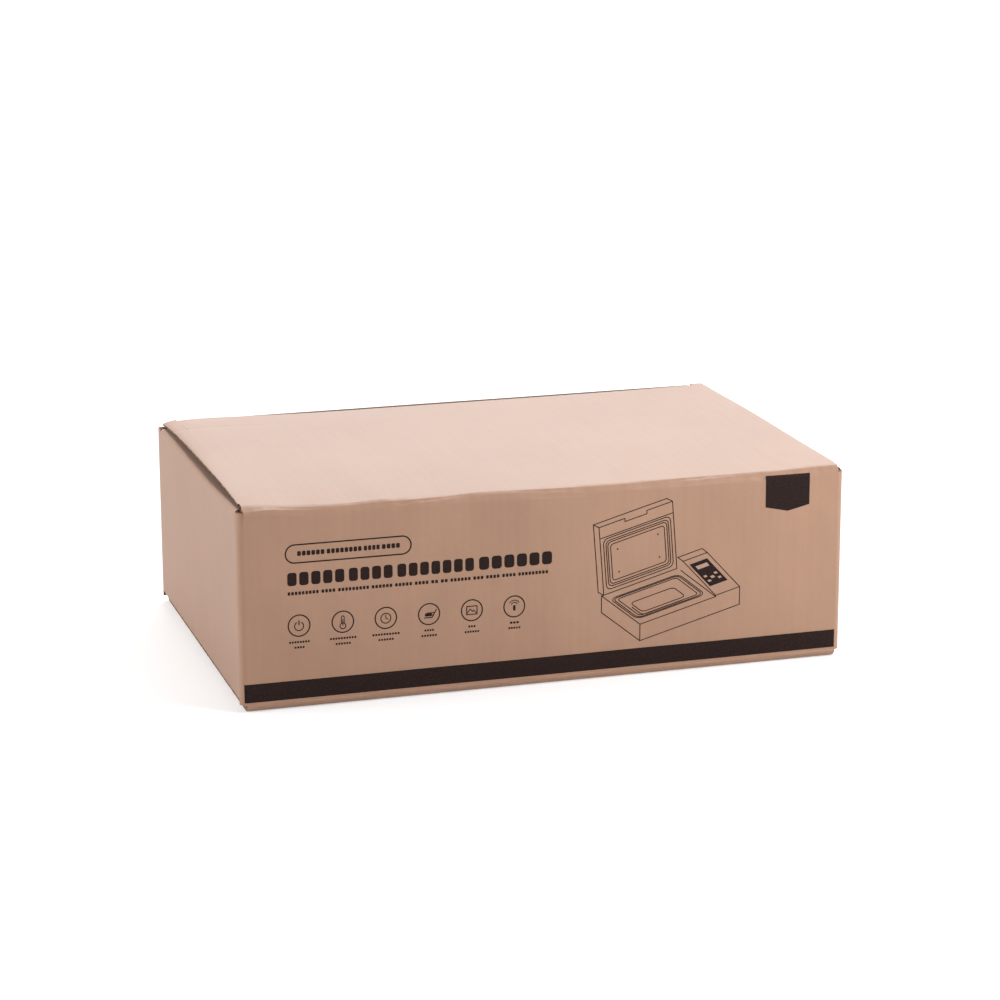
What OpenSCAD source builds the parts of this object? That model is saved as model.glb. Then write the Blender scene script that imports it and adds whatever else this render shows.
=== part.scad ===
// Boxed vacuum sublimation press: a tuck-top corrugated carton with the machine packed in foam.
// Origin at the middle of the carton's underside, X along the printed front wall, Y to the back, Z up.
// The machine stands with its rear to the printed wall, so both lids open towards the viewer.

/* [Carton board] */
// Thickness of the double-wall corrugated board
board_t = 5; // [4:0.5:6]
// Outer radius of the folded creases
crease_r = 4.5; // [2:0.5:4.5]
// Rise of the lid's middle above its creases
lid_bow = 2.5; // [0:0.5:4]
// Step of the lid's cut ends behind the side walls
lid_inset = 3.5; // [2:0.5:6]
// Width of the slots cut at the carton's corners
slot_w = 4.5; // [3:0.5:6]
// Height of the tuck flap at the lid's back edge
tuck_h = 40; // [25:1:50]
// Inward lean of the tucked flap, in degrees
tuck_lean = 8; // [7:1:12]
// Distance from the lid's ends to the slits of the tuck flap
tuck_slit = 10; // [6:1:20]
// Taper of the dust flap's hinge side, in degrees from square
dust_taper = 28; // [28:1:45]
// Width of the glued joint inside the corner
glue_tab_w = 32; // [25:1:45]
// Thickness of the crushed board in the glued joint
glue_tab_t = 2.5; // [1.5:0.5:3]
// Width of a hot melt glue bead
glue_w = 8; // [4:1:14]

/* [Foam packing] */
// Thickness of the foam floor under the machine's ends
ledge_t = 10; // [6:1:20]
// Reach of the foam floor under the machine
ledge_l = 45; // [40:1:60]
// Thickness of the left foam end cap
cap_left = 24; // [15:1:40]
// Thickness of the right foam end cap
cap_right = 64; // [50:1:80]
// Space between the machine and the printed wall
rear_gap = 30; // [29:0.5:36]
// Space between the machine and the back wall
front_gap = 17.5; // [15:0.5:30]
// Height of the foam cheeks beside the machine
cheek_h = 42; // [20:1:45]
// Thickness of the foam pad glued under the carton lid
pad_t = 23; // [15:1:35]
// Wall left round the pocket in the right end cap
pocket_wall = 14; // [8:1:20]
// Depth of the pocket in the right end cap
pocket_d = 70; // [30:1:90]

/* [Machine case] */
// Length of the machine
case_l = 350; // [330:1:380]
// Depth of the machine
case_d = 235; // [225:1:260]
// Height of the case from its underside to the deck
base_h = 50; // [46:1:60]
// Height of the lower shell
lower_h = 26; // [22:1:30]
// Corner radius of the case in plan
case_r = 14; // [6:1:20]
// Wall thickness of the moulded shells
shell_t = 2.5; // [2:0.25:3]
// Height of a rubber foot
foot_h = 6; // [4:1:10]
// Radius of a rubber foot
foot_r = 9; // [6:0.5:12]
// Distance of the feet from the case's ends and sides
foot_in = 24; // [20:1:30]
// Width of the control block
block_w = 92; // [86:1:110]
// Drop of the control block from its back to its front
block_drop = 32; // [20:1:36]
// Depth of the apron in front of the machine's lid
apron_d = 12; // [8:1:20]
// Depth of the trough that the lid's hinges stand in
trough_drop = 4; // [3:0.5:5]

/* [Machine lid] */
// Height of the machine's lid
lid_h = 38; // [34:1:44]
// Gap between the closed lid and the deck
lid_gap = 0.5; // [0.4:0.1:1.5]
// Distance of the lid's back from the case's back
lid_back = 4; // [3:0.5:8]
// Gap between the lid and the control block, and at the lid's free end
lid_side = 2; // [1.5:0.5:4]
// Radius of the rounding round the hinge line
hinge_r = 5.5; // [5:0.25:6]
// Radius of a hinge pin
pin_r = 2; // [1.5:0.25:2.5]
// Radial running clearance of the pins and shafts
run_gap = 0.05; // [0.02:0.01:0.1]
// Distance of the hinges from the lid's ends
hinge_in = 48; // [40:1:70]
// Length of the heater plate
heater_l = 190; // [160:1:200]
// Width of the heater plate
heater_w = 115; // [90:1:125]
// Thickness of the heater plate
heater_t = 3; // [2:0.5:4]
// Half width of the flattened heating element
element_r = 3; // [2.5:0.5:3.5]
// Thickness of the insulation blanket
blanket_t = 8; // [4:1:10]
// Thickness of the silicone membrane
membrane_t = 1; // [0.8:0.1:1.5]
// Thickness of the membrane's clamp frame
clamp_t = 2.5; // [1.5:0.5:3]
// Thickness of the sheet metal inside the lid
frame_t = 2; // [1.5:0.5:2.5]

/* [Vacuum chamber] */
// Length of the chamber's opening
chamber_l = 206; // [196:1:210]
// Width of the chamber's opening
chamber_w = 136; // [126:1:140]
// Depth of the chamber below the deck
chamber_d = 32; // [28:1:34]
// Sheet thickness of the chamber
basin_t = 1.5; // [1:0.25:2]
// Height of the platen's posts
post_h = 10; // [6:1:12]
// Thickness of the perforated platen
platen_t = 3; // [2:0.5:4]
// Radius of the platen's suction holes
suction_r = 1.6; // [1:0.2:2]
// Spacing of the suction holes
suction_pitch = 20; // [15:1:30]
// Length of the phone case mould
mould_l = 150; // [130:1:165]
// Width of the phone case mould
mould_w = 74; // [65:1:85]
// Height of the phone case mould
mould_h = 10; // [6:0.5:12]
// Width of the chamber's sealing ring
gasket_w = 5; // [3:0.5:6]

/* [Controls] */
// Width of the dark control panel
panel_w = 62; // [55:1:70]
// Length of the dark control panel
panel_l = 128; // [122:1:140]
// Thickness of the control panel's overlay
panel_t = 1; // [0.6:0.1:1.5]
// Radius of a key
key_r = 7; // [5:0.5:8]
// Travel of a key
key_travel = 0.6; // [0.4:0.1:0.8]
// Length of the display window
display_l = 44; // [30:1:50]
// Width of the display window
display_w = 20; // [12:1:24]

/* [Works] */
// Radius of the pump's motor
motor_r = 15; // [12:0.5:17]
// Length of the pump's motor
motor_l = 44; // [35:1:50]
// Side of the pump's head
head_s = 34; // [30:1:36]
// Length of the pump's head
head_l = 36; // [30:1:40]
// Offset of the pump's eccentric
crank_off = 1.5; // [1:0.25:2.5]
// Outer radius of the vacuum hose
hose_r = 4; // [3:0.5:4.5]
// Bore radius of the vacuum hose
hose_bore = 2.5; // [2:0.25:3]
// Side of the cooling fan
fan_s = 50; // [40:1:56]
// Thickness of the cooling fan
fan_t = 15; // [10:1:20]

/* [Hidden] */
$fn = 48;
seat = 0.3; // gap between pieces that rest on each other
fit = 0.5; // gap between the foam and what it holds or stands beside
swing = 0.15; // gap in the mitred creases
over = 1; // how far a cutter passes a face

// Stack of the carton, from the floor up
inner_flap_z = board_t + seat;
ledge_z = inner_flap_z + board_t + seat;
case_z = ledge_z + ledge_t + seat;
machine_h = foot_h + base_h + lid_gap + lid_h;
pad_z = case_z + machine_h + seat;
carton_h = pad_z + pad_t + board_t;
carton_l = 2 * board_t + 4 * fit + cap_left + case_l + cap_right;
carton_w = 2 * board_t + rear_gap + case_d + front_gap;
side_h = carton_h - board_t - seat;
half_l = carton_l / 2;
half_w = carton_w / 2;
lid_l = carton_l - 2 * lid_inset;
tuck_gap = 0.8;
tuck_y = half_w - board_t - tuck_gap;
tuck_fold = 90 + tuck_lean;
dust_l = board_t + fit + cap_right - 2;
dust_back = tuck_y - board_t / cos(tuck_lean) - 2 * board_t * tan(tuck_lean) - 2;
pad_x = half_l - dust_l - 2.5;
pad_front = -half_w + board_t + 7;
pad_back = tuck_y - board_t - tuck_h * sin(tuck_lean) - 11;

// Place of the machine in the carton
case_x = half_l - board_t - 2 * fit - cap_right - case_l / 2;
case_y = -half_w + board_t + rear_gap + case_d / 2;

// Heights and places in the machine's own frame, its front towards -Y, its feet at zero
deck_z = foot_h + base_h;
split_z = foot_h + lower_h;
lid_z = deck_z + lid_gap;
lid_len = case_l - block_w - 2 * lid_side;
lid_dep = case_d - apron_d - lid_back;
lid_cx = -case_l / 2 + lid_side + lid_len / 2;
lid_y0 = -case_d / 2 + apron_d;
lid_y1 = lid_y0 + lid_dep;
lid_cy = (lid_y0 + lid_y1) / 2;
hinge_y = lid_y1 - hinge_r - 0.5;
hinge_z = lid_z + hinge_r;
trough_y = hinge_y - hinge_r - 4;
trough_z = deck_z - trough_drop;
block_x = case_l / 2 - block_w;
block_cx = case_l / 2 - block_w / 2;
block_top = deck_z + lid_gap + lid_h - 2;
block_front = block_top - block_drop;
slope_y0 = -case_d / 2 + 12;
slope_y1 = case_d / 2 - 20;
slope = atan((block_top - block_front) / (slope_y1 - slope_y0));
panel_cy = (slope_y0 + slope_y1) / 2;
panel_z = (block_top + block_front) / 2;
hinge_xs = [lid_cx - lid_len / 2 + hinge_in, lid_cx + lid_len / 2 - hinge_in];
ear_t = 5;
leaf_t = 2;
basin_z = deck_z - chamber_d;
platen_z = basin_z + basin_t + post_h;
chamber_cy = lid_cy - 4;
floor_z = foot_h + shell_t;
plate_z = lid_z + clamp_t + membrane_t + frame_t + 2;
blanket_z = plate_z + heater_t + 2 * element_r + seat;
screw_r = 1.5;
pump_x = block_cx + 8;
pump_z = floor_z + 4 + head_s / 2;
pump_y = -8;
fan_cx = case_l / 2 - 17 - fan_s / 2;
fan_z = floor_z + 3 + fan_s / 2;
fan_y = case_d / 2 - shell_t - fan_t;
inlet_x = -20;
switch_x = 22;
socket_z = foot_h + base_h / 2 - 3;
inlet_w = 27;
inlet_h = 20;
switch_w = 19;
switch_h = 13;
port_x = lid_cx + 60;
hose_z = floor_z + hose_r + 2;
port_r = 6;
barb_l = 4;
valve_w = 16;
valve_x = block_x + 16;
valve_y = chamber_cy;
wall_in = -case_d / 2 + shell_t;

// Points of an arc round c, from angle a0 to a1
function arc(c, r, a0, a1, n = 6) = [for (i = [0:n]) c + r * [cos(a0 + (a1 - a0) * i / n), sin(a0 + (a1 - a0) * i / n)]];

// Rectangle with round corners, centred
module pill(l, w, r) {
    square([l - 2 * r, w], center = true);
    square([l, w - 2 * r], center = true);
    for (x = [-1, 1], y = [-1, 1]) translate([x * (l / 2 - r), y * (w / 2 - r)]) circle(r);
}
// Slab with round corners in plan, standing on z = 0
module slab(l, w, h, r) {
    linear_extrude(h) pill(l, w, r);
}
// An outline in Y and Z drawn out along X, centred
module along_x(l) {
    rotate([90, 0, 90]) linear_extrude(l, center = true) children();
}
// An outline in X and Z drawn out along Y, centred
module along_y(l) {
    rotate([90, 0, 0]) linear_extrude(l, center = true) children();
}
// Places a piece of the machine in the carton
module in_machine() {
    translate([case_x, case_y, case_z]) rotate([0, 0, 180]) children();
}
// Places a piece on the sloping control panel, Z square to the panel
module on_panel() {
    translate([block_cx, panel_cy, panel_z]) rotate([slope, 0, 0]) children();
}
module post(r, h, z = 0) {
    translate([0, 0, z]) cylinder(r = r, h = h);
}

// Outline of a wall from its outer face inwards, folded at z0 and z1
module wall_outline(z0, z1, gap) {
    r = crease_r;
    polygon(concat(
        [[board_t, z0 + board_t]],
        arc([r, z0 + r], r, 225, 180),
        arc([r, z1 - r - gap], r, 180, 135),
        [[board_t, z1 - board_t - gap]]
    ));
}
// Outline of a flap that starts at a crease, lies flat with its outer face at z = 0 and its inside below
module flap_outline(l, gap) {
    r = crease_r;
    polygon(concat(
        [[l, 0], [l, -board_t], [board_t + gap, -board_t]],
        arc([r + gap, -r], r, 135, 90)
    ));
}
// Footprint of the four walls with their round corners
module footprint() {
    linear_extrude(carton_h) pill(carton_l, carton_w, crease_r);
}
// Slot at a top corner of a wall that faces along Y
module corner_slots() {
    for (x = [-1, 1]) translate([x * half_l, 0, side_h - 2 + carton_h / 2])
        cube([2 * slot_w, 3 * carton_w, carton_h], center = true);
}

module front_wall() {
    color([0.66, 0.50, 0.40]) difference() {
        intersection() {
            translate([0, -half_w, 0]) along_x(carton_l) wall_outline(0, carton_h, swing);
            footprint();
        }
        corner_slots();
    }
}
// The back wall's top is a cut edge, stepped down at its ends
module back_wall() {
    back_h = carton_h - 0.5;
    color([0.66, 0.50, 0.40]) difference() {
        intersection() {
            translate([0, half_w, 0]) mirror([0, 1, 0]) along_x(carton_l) polygon(concat(
                [[board_t, board_t]],
                arc([crease_r, crease_r], crease_r, 225, 180),
                [[0, back_h], [board_t, back_h]]
            ));
            footprint();
        }
        for (x = [-1, 1]) translate([x * half_l, half_w, back_h])
            cube([2 * (lid_inset + tuck_slit), 3 * board_t, 2 * board_t], center = true);
    }
}
module side_wall() {
    along_y(carton_w - 2 * board_t) wall_outline(inner_flap_z, side_h, swing);
}
module left_wall() {
    color([0.78, 0.67, 0.61]) translate([-half_l, 0, 0]) side_wall();
}
module right_wall() {
    color([0.78, 0.67, 0.61]) translate([half_l, 0, 0]) mirror([1, 0, 0]) side_wall();
}
// Crushed strip glued inside the left wall, at the back corner
module glue_tab() {
    tab_z = inner_flap_z + 2 * board_t;
    color([0.70, 0.55, 0.44]) translate([-half_l + board_t, half_w - board_t - glue_tab_w, tab_z])
        cube([glue_tab_t, glue_tab_w, side_h - 3 * board_t - tab_z]);
}

// Outer bottom flaps meet under the middle of the carton
module bottom_flap() {
    flap_w = half_w - 1;
    rotate([180, 0, 0]) along_x(carton_l - 2 * slot_w) flap_outline(flap_w, 0);
}
module bottom_flap_front() {
    color([0.70, 0.55, 0.44]) translate([0, -half_w, 0]) mirror([0, 1, 0]) bottom_flap();
}
module bottom_flap_back() {
    color([0.70, 0.55, 0.44]) translate([0, half_w, 0]) bottom_flap();
}
module side_bottom_flap() {
    translate([0, 0, inner_flap_z]) rotate([180, 0, 0])
        along_y(carton_w - 2 * board_t - 2 * seat) flap_outline(half_w - 30, 0);
}
module bottom_flap_left() {
    color([0.70, 0.55, 0.44]) translate([-half_l, 0, 0]) side_bottom_flap();
}
module bottom_flap_right() {
    color([0.70, 0.55, 0.44]) translate([half_l, 0, 0]) mirror([1, 0, 0]) side_bottom_flap();
}
// Hot melt beads between the outer and the inner bottom flaps
module bottom_glue() {
    bead_l = 70;
    color([0.90, 0.84, 0.66]) for (x = [-1, 1], y = [-1, 1], i = [0, 1])
        translate([x * (half_l - 35 - i * 40) - glue_w / 2, y * half_w / 2 - bead_l / 2, board_t])
            cube([glue_w, bead_l, seat]);
}

// Height of the lid's bow at u along its depth, 0 to 1
function bow(u) = lid_bow * sin(180 * min(max(u, 0), 1));
lid_steps = 12;
tuck_cut = tan(tuck_fold / 2);
lid_u0 = crease_r + swing;
lid_u1 = tuck_y + half_w - crease_r * tuck_cut - swing;
// Lid: over the top from the hinge crease to the tuck crease, and back below
module lid_panel() {
    below0 = board_t + swing;
    below1 = tuck_y + half_w - board_t * tuck_cut - swing;
    outline = concat(
        arc([lid_u0, -crease_r], crease_r, 135, 90, 4),
        [for (i = [1:lid_steps - 1]) [lid_u0 + (lid_u1 - lid_u0) * i / lid_steps, 0]],
        arc([lid_u1, -crease_r], crease_r, 90, 90 - tuck_fold / 2, 4),
        [for (i = [0:lid_steps]) [below1 - (below1 - below0) * i / lid_steps, -board_t]]
    );
    color([0.91, 0.82, 0.76]) along_x(lid_l) polygon([
        for (p = outline) [p.x - half_w, carton_h + p.y + bow((p.x - lid_u0) / (lid_u1 - lid_u0))]
    ]);
}
module tuck_flap() {
    tuck_l = lid_l - 2 * tuck_slit;
    corner = 12;
    color([0.78, 0.67, 0.58]) translate([0, tuck_y, carton_h]) rotate([-tuck_fold, 0, 0])
        intersection() {
            along_x(tuck_l) polygon(concat(
                [[tuck_h, 0], [tuck_h, -board_t], [board_t * tuck_cut + swing, -board_t]],
                arc([crease_r * tuck_cut + swing, -crease_r], crease_r, 90 + tuck_fold / 2, 90, 4)
            ));
            translate([0, 0, -2 * board_t]) linear_extrude(4 * board_t) union() {
                translate([-tuck_l / 2, -over]) square([tuck_l, tuck_h - corner + over]);
                translate([-tuck_l / 2 + corner, 0]) square([tuck_l - 2 * corner, tuck_h]);
                for (x = [-1, 1]) translate([x * (tuck_l / 2 - corner), tuck_h - corner]) circle(corner);
            }
        }
}
// Flap on the top crease of the left wall, tapered where the lid closes over it last
module dust_flap() {
    front_y = -half_w + board_t + fit;
    translate([-half_l, 0, side_h]) intersection() {
        along_y(2 * carton_w) flap_outline(dust_l, swing);
        translate([0, 0, -2 * board_t]) linear_extrude(4 * board_t) polygon([
            [0, front_y + 1], [dust_l, front_y + 1 + dust_l * tan(dust_taper)],
            [dust_l, dust_back - 12], [dust_l - 12, dust_back], [0, dust_back]
        ]);
    }
}
module dust_flap_left() {
    color([0.72, 0.58, 0.47]) dust_flap();
}
module dust_flap_right() {
    color([0.72, 0.58, 0.47]) mirror([1, 0, 0]) dust_flap();
}
// Foam pad glued under the lid, between the dust flaps, with its edges cut square
module lid_pad() {
    color([0.93, 0.93, 0.92]) translate([-pad_x, pad_front, pad_z])
        cube([2 * pad_x, pad_back - pad_front, pad_t]);
}

// Foam end cap on the left: end wall, floor and two cheeks, cut clear of the tuck flap
module foam_cap(wall_l) {
    inner_w = carton_w - 2 * board_t - 2 * fit;
    cap_h = side_h - board_t - seat - ledge_z;
    tuck_room = half_w - board_t - pad_back;
    difference() {
        translate([-half_l + board_t + fit, -inner_w / 2, ledge_z]) union() {
            cube([wall_l, inner_w, cap_h]);
            cube([wall_l + ledge_l, inner_w, ledge_t]);
            cube([wall_l + ledge_l, rear_gap - 2 * fit, ledge_t + cheek_h]);
            translate([0, inner_w - front_gap + 2 * fit, 0])
                cube([wall_l + ledge_l, front_gap - 2 * fit, ledge_t + cheek_h]);
        }
        translate([-half_l, half_w - board_t - tuck_room, carton_h - tuck_h - 6])
            cube([half_l, tuck_room + board_t, carton_h]);
        translate([-half_l, half_w - board_t - glue_tab_w - fit, 0])
            cube([board_t + glue_tab_t + fit, 2 * glue_tab_w, carton_h]);
    }
}
module foam_cap_left() {
    color([0.93, 0.93, 0.92]) foam_cap(cap_left);
}
// The right end cap holds a pocket for the loose accessories
module foam_cap_right() {
    pocket_l = cap_right - 2 * pocket_wall;
    pocket_w = case_d - 2 * pocket_wall - 30;
    color([0.93, 0.93, 0.92]) difference() {
        mirror([1, 0, 0]) foam_cap(cap_right);
        translate([half_l - board_t - fit - cap_right + pocket_wall, case_y - pocket_w / 2,
                side_h - board_t - seat - pocket_d])
            cube([pocket_l, pocket_w, carton_h]);
    }
}

// Lower shell: a tray with feet seats, screw holes, and cuts for the sockets and the fan
screw_xy = [for (x = [-1, 1], y = [-1, 1]) [x * (case_l / 2 - 12), y * (case_d / 2 - 12)]];
boss_r = 4;
module lower_shell() {
    color([0.16, 0.16, 0.17]) in_machine() difference() {
        union() {
            difference() {
                translate([0, 0, foot_h]) slab(case_l, case_d, lower_h, case_r);
                translate([0, 0, floor_z]) slab(case_l - 2 * shell_t, case_d - 2 * shell_t, lower_h, case_r - shell_t);
            }
            for (p = screw_xy) translate([p.x, p.y, 0]) post(boss_r, split_z - foot_h - shell_t, floor_z - 0.01);
            for (y = [4, head_l - 12]) translate([pump_x - 12, pump_y + y, floor_z - 0.01])
                cube([24, 8, pump_z - head_s / 2 - floor_z + 0.01]);
        }
        for (p = screw_xy) translate([p.x, p.y, 0]) post(screw_r, deck_z);
        socket_cuts();
        fan_cuts();
    }
}
// Openings in the rear wall for the inlet and the switch
module socket_cuts() {
    for (s = [[inlet_x, inlet_w, inlet_h], [switch_x, switch_w, switch_h]])
        translate([s[0] - s[1] / 2, case_d / 2 - 2 * shell_t, socket_z - s[2] / 2])
            cube([s[1], 4 * shell_t, s[2]]);
}
// Rows of slots in the rear wall in front of the fan
module fan_cuts() {
    for (i = [-3:3]) translate([fan_cx - fan_s / 2 + 6, case_d / 2 - 2 * shell_t, fan_z + i * 6 - 1.5])
        cube([fan_s - 12, 4 * shell_t, 3]);
}

// Outline of the control block in Y and Z, drawn in by t
module block_outline(t) {
    y0 = -case_d / 2 + t;
    y1 = case_d / 2 - t;
    nose = 9 - t;
    top = block_top - t;
    polygon(concat(
        [[y0, split_z - (t > 0 ? over : 0)]],
        [[y0, block_front - 9]],
        arc([y0 + nose, block_front - t - nose], nose, 180, 90 + slope),
        [[slope_y1, top]],
        arc([y1 - 8 + t, top - 8 + t], 8 - t, 90, 0),
        [[y1, split_z - (t > 0 ? over : 0)]]
    ));
}
// Outer form of the upper shell
module top_form() {
    translate([0, 0, split_z]) slab(case_l, case_d, deck_z - split_z, case_r);
    intersection() {
        translate([block_cx, 0, 0]) along_x(block_w) block_outline(0);
        slab(case_l, case_d, 2 * block_top, case_r);
    }
}
// Hollow of the upper shell
module top_hollow() {
    difference() {
        translate([0, 0, split_z - over])
            slab(case_l - 2 * shell_t, case_d - 2 * shell_t, deck_z - shell_t - split_z + over, case_r - shell_t);
        translate([lid_cx - case_l, trough_y - shell_t, trough_z - shell_t])
            cube([case_l + lid_len / 2 + lid_side - 1, case_d, deck_z]);
    }
    intersection() {
        translate([block_cx, 0, 0]) along_x(block_w - 2 * shell_t) block_outline(shell_t);
        translate([0, 0, split_z - over])
            slab(case_l - 2 * shell_t, case_d - 2 * shell_t, 2 * block_top, case_r - shell_t);
    }
}
// Upper shell: the deck with its chamber opening, and the control block in one moulding
module upper_shell() {
    color([0.92, 0.92, 0.91]) in_machine() difference() {
        union() {
            difference() {
                top_form();
                top_hollow();
            }
            intersection() {
                top_form();
                for (p = screw_xy) translate([p.x, p.y, 0]) post(boss_r, 2 * block_top, split_z);
            }
        }
        translate([lid_cx - case_l, trough_y, trough_z]) cube([case_l + lid_len / 2 + lid_side, case_d, lid_h / 3]);
        translate([lid_cx, chamber_cy, 0]) slab(chamber_l, chamber_w, 2 * deck_z, 12);
        translate([lid_cx, chamber_cy, deck_z - 1]) linear_extrude(over + 1) gasket_ring(gasket_w + 2 * swing);
        for (p = screw_xy) translate([p.x, p.y, 0]) post(screw_r, split_z + 12);
        on_panel() translate([0, 0, -0.6]) slab(panel_w + 2 * swing, panel_l + 2 * swing, 3, 4);
        on_panel() key_places() translate([0, 0, -6]) cylinder(r = key_r + 0.4, h = 9);
        on_panel() display_place() cube([display_l, display_w, 12], center = true);
        socket_cuts();
        fan_cuts();
    }
}
module gasket_ring(w) {
    difference() {
        pill(chamber_l + 12 + w, chamber_w + 12 + w, 18 + w / 2);
        pill(chamber_l + 12 - w, chamber_w + 12 - w, 18 - w / 2);
    }
}
module rubber_feet() {
    color([0.08, 0.08, 0.08]) in_machine() for (x = [-1, 1], y = [-1, 1])
        translate([x * (case_l / 2 - foot_in), y * (case_d / 2 - foot_in), 0]) difference() {
            union() {
                cylinder(r1 = foot_r - 1, r2 = foot_r, h = 1.5);
                post(foot_r, foot_h - 1.5, 1.5);
            }
            post(3, 3, -over);
        }
}
// Case screws, driven from below through the bosses
module case_screws() {
    color([0.55, 0.55, 0.57]) in_machine() for (p = screw_xy) translate([p.x, p.y, 0]) {
        post(screw_r, lower_h + 8, foot_h);
        post(3, 2, foot_h - 2);
    }
}

// Pressed chamber with a flange under the deck and four posts for the platen
module chamber_basin() {
    color([0.75, 0.76, 0.78]) in_machine() translate([lid_cx, chamber_cy, 0]) difference() {
        union() {
            translate([0, 0, deck_z - shell_t - basin_t]) slab(chamber_l + 16, chamber_w + 16, basin_t, 18);
            translate([0, 0, basin_z]) slab(chamber_l - 2, chamber_w - 2, chamber_d - shell_t, 11);
        }
        difference() {
            translate([0, 0, basin_z + basin_t])
                slab(chamber_l - 2 - 2 * basin_t, chamber_w - 2 - 2 * basin_t, chamber_d, 11 - basin_t);
            for (x = [-1, 1], y = [-1, 1])
                translate([x * (chamber_l / 2 - 22), y * (chamber_w / 2 - 18), 0]) post(4, platen_z - seat, 0);
        }
        translate([port_x - lid_cx, 0, basin_z - over]) cylinder(r = hose_bore, h = 4 * basin_t);
    }
}
platen_l = chamber_l - 14;
platen_w = chamber_w - 14;
module platen() {
    nx = floor((platen_l - 16) / suction_pitch / 2);
    ny = floor((platen_w - 16) / suction_pitch / 2);
    color([0.80, 0.81, 0.83]) in_machine() translate([lid_cx, chamber_cy, platen_z]) difference() {
        slab(platen_l, platen_w, platen_t, 8);
        for (i = [-nx:nx], j = [-ny:ny]) translate([i * suction_pitch, j * suction_pitch, -over])
            cylinder(r = suction_r, h = platen_t + 2 * over);
    }
}
// Aluminium mould in the shape of a phone, with a step for the case's edge and a camera recess
module phone_mould() {
    color([0.62, 0.64, 0.66]) in_machine()
        translate([lid_cx, chamber_cy, platen_z + platen_t + seat]) difference() {
            union() {
                slab(mould_l, mould_w, mould_h / 2, 12);
                slab(mould_l - 4, mould_w - 4, mould_h, 10);
            }
            translate([-mould_l / 2 + 20, mould_w / 2 - 20, mould_h - 1.5]) slab(24, 24, 3, 6);
        }
}
module chamber_gasket() {
    color([0.75, 0.22, 0.15]) in_machine() translate([lid_cx, chamber_cy, deck_z - 1])
        linear_extrude(1 + lid_gap - 0.1) gasket_ring(gasket_w);
}
// Elbow under the chamber: a flanged boss and a barb that points at the control block
module vacuum_port() {
    color([0.80, 0.66, 0.35]) in_machine() translate([port_x, chamber_cy, 0]) difference() {
        union() {
            post(port_r, basin_z - hose_z + port_r - 0.5, hose_z - port_r + 0.5);
            translate([0, 0, hose_z]) rotate([0, 90, 0]) cylinder(r = hose_bore - run_gap, h = port_r + 10);
        }
        post(hose_bore - 1, basin_z, hose_z);
        translate([0, 0, hose_z]) rotate([0, 90, 0]) cylinder(r = hose_bore - 1, h = 20);
    }
}
// Hose from the port to the valve, and a short second piece from the valve to the pump
module vacuum_hose() {
    x0 = port_x + port_r + fit;
    x1 = valve_x - valve_w / 2 - fit;
    x2 = valve_x + valve_w / 2 + fit;
    x3 = pump_x - head_s / 2 - fit;
    color([0.85, 0.87, 0.88, 0.9]) in_machine() translate([0, valve_y, hose_z]) rotate([0, 90, 0]) {
        translate([0, 0, x0]) tube(hose_r, hose_bore, x1 - x0);
        translate([0, 0, x2]) tube(hose_r, hose_bore, x3 - x2);
    }
}
module tube(r, bore, h) {
    difference() {
        cylinder(r = r, h = h);
        translate([0, 0, -over]) cylinder(r = bore, h = h + 2 * over);
    }
}

// Keys in two rows below the display, in the panel's own frame
key_xy = [[-18, -12], [18, -12], [-18, -38], [18, -38], [0, -25]];
module key_places() {
    for (p = key_xy) translate([p.x, p.y, 0]) children();
}
module display_place() {
    translate([0, panel_l / 2 - 16 - display_w / 2, 0]) children();
}
module control_overlay() {
    color([0.07, 0.07, 0.08]) in_machine() on_panel() difference() {
        translate([0, 0, -0.6 + 0.02]) slab(panel_w, panel_l, panel_t, 4);
        key_places() translate([0, 0, -5]) cylinder(r = key_r + 0.4, h = 10);
        display_place() cube([display_l - 2, display_w - 2, 10], center = true);
    }
}
module display_window() {
    color([0.25, 0.03, 0.03]) in_machine() on_panel() display_place() union() {
        translate([0, 0, -0.62 - 1]) cube([display_l - 0.4, display_w - 0.4, 2], center = true);
        translate([0, 0, -0.62 + 0.4]) cube([display_l - 2.4, display_w - 2.4, 1], center = true);
    }
}
// A key: a cap with a shallow dome, and a stem with a collar under the shell
module key(i) {
    color([0.85, 0.86, 0.87]) in_machine() on_panel() translate([key_xy[i].x, key_xy[i].y, 0]) {
        translate([0, 0, -4]) cylinder(r = key_r, h = 4.8);
        translate([0, 0, 0.79]) cylinder(r1 = key_r, r2 = key_r - 0.6, h = 0.4);
        translate([0, 0, -board_gap + key_travel + 0.1])
            cylinder(r = 2.5, h = board_gap - 4 - key_travel);
    }
}
board_gap = 9;
module key_power() { key(0); }
module key_set() { key(1); }
module key_up() { key(2); }
module key_down() { key(3); }
module key_start() { key(4); }
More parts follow.
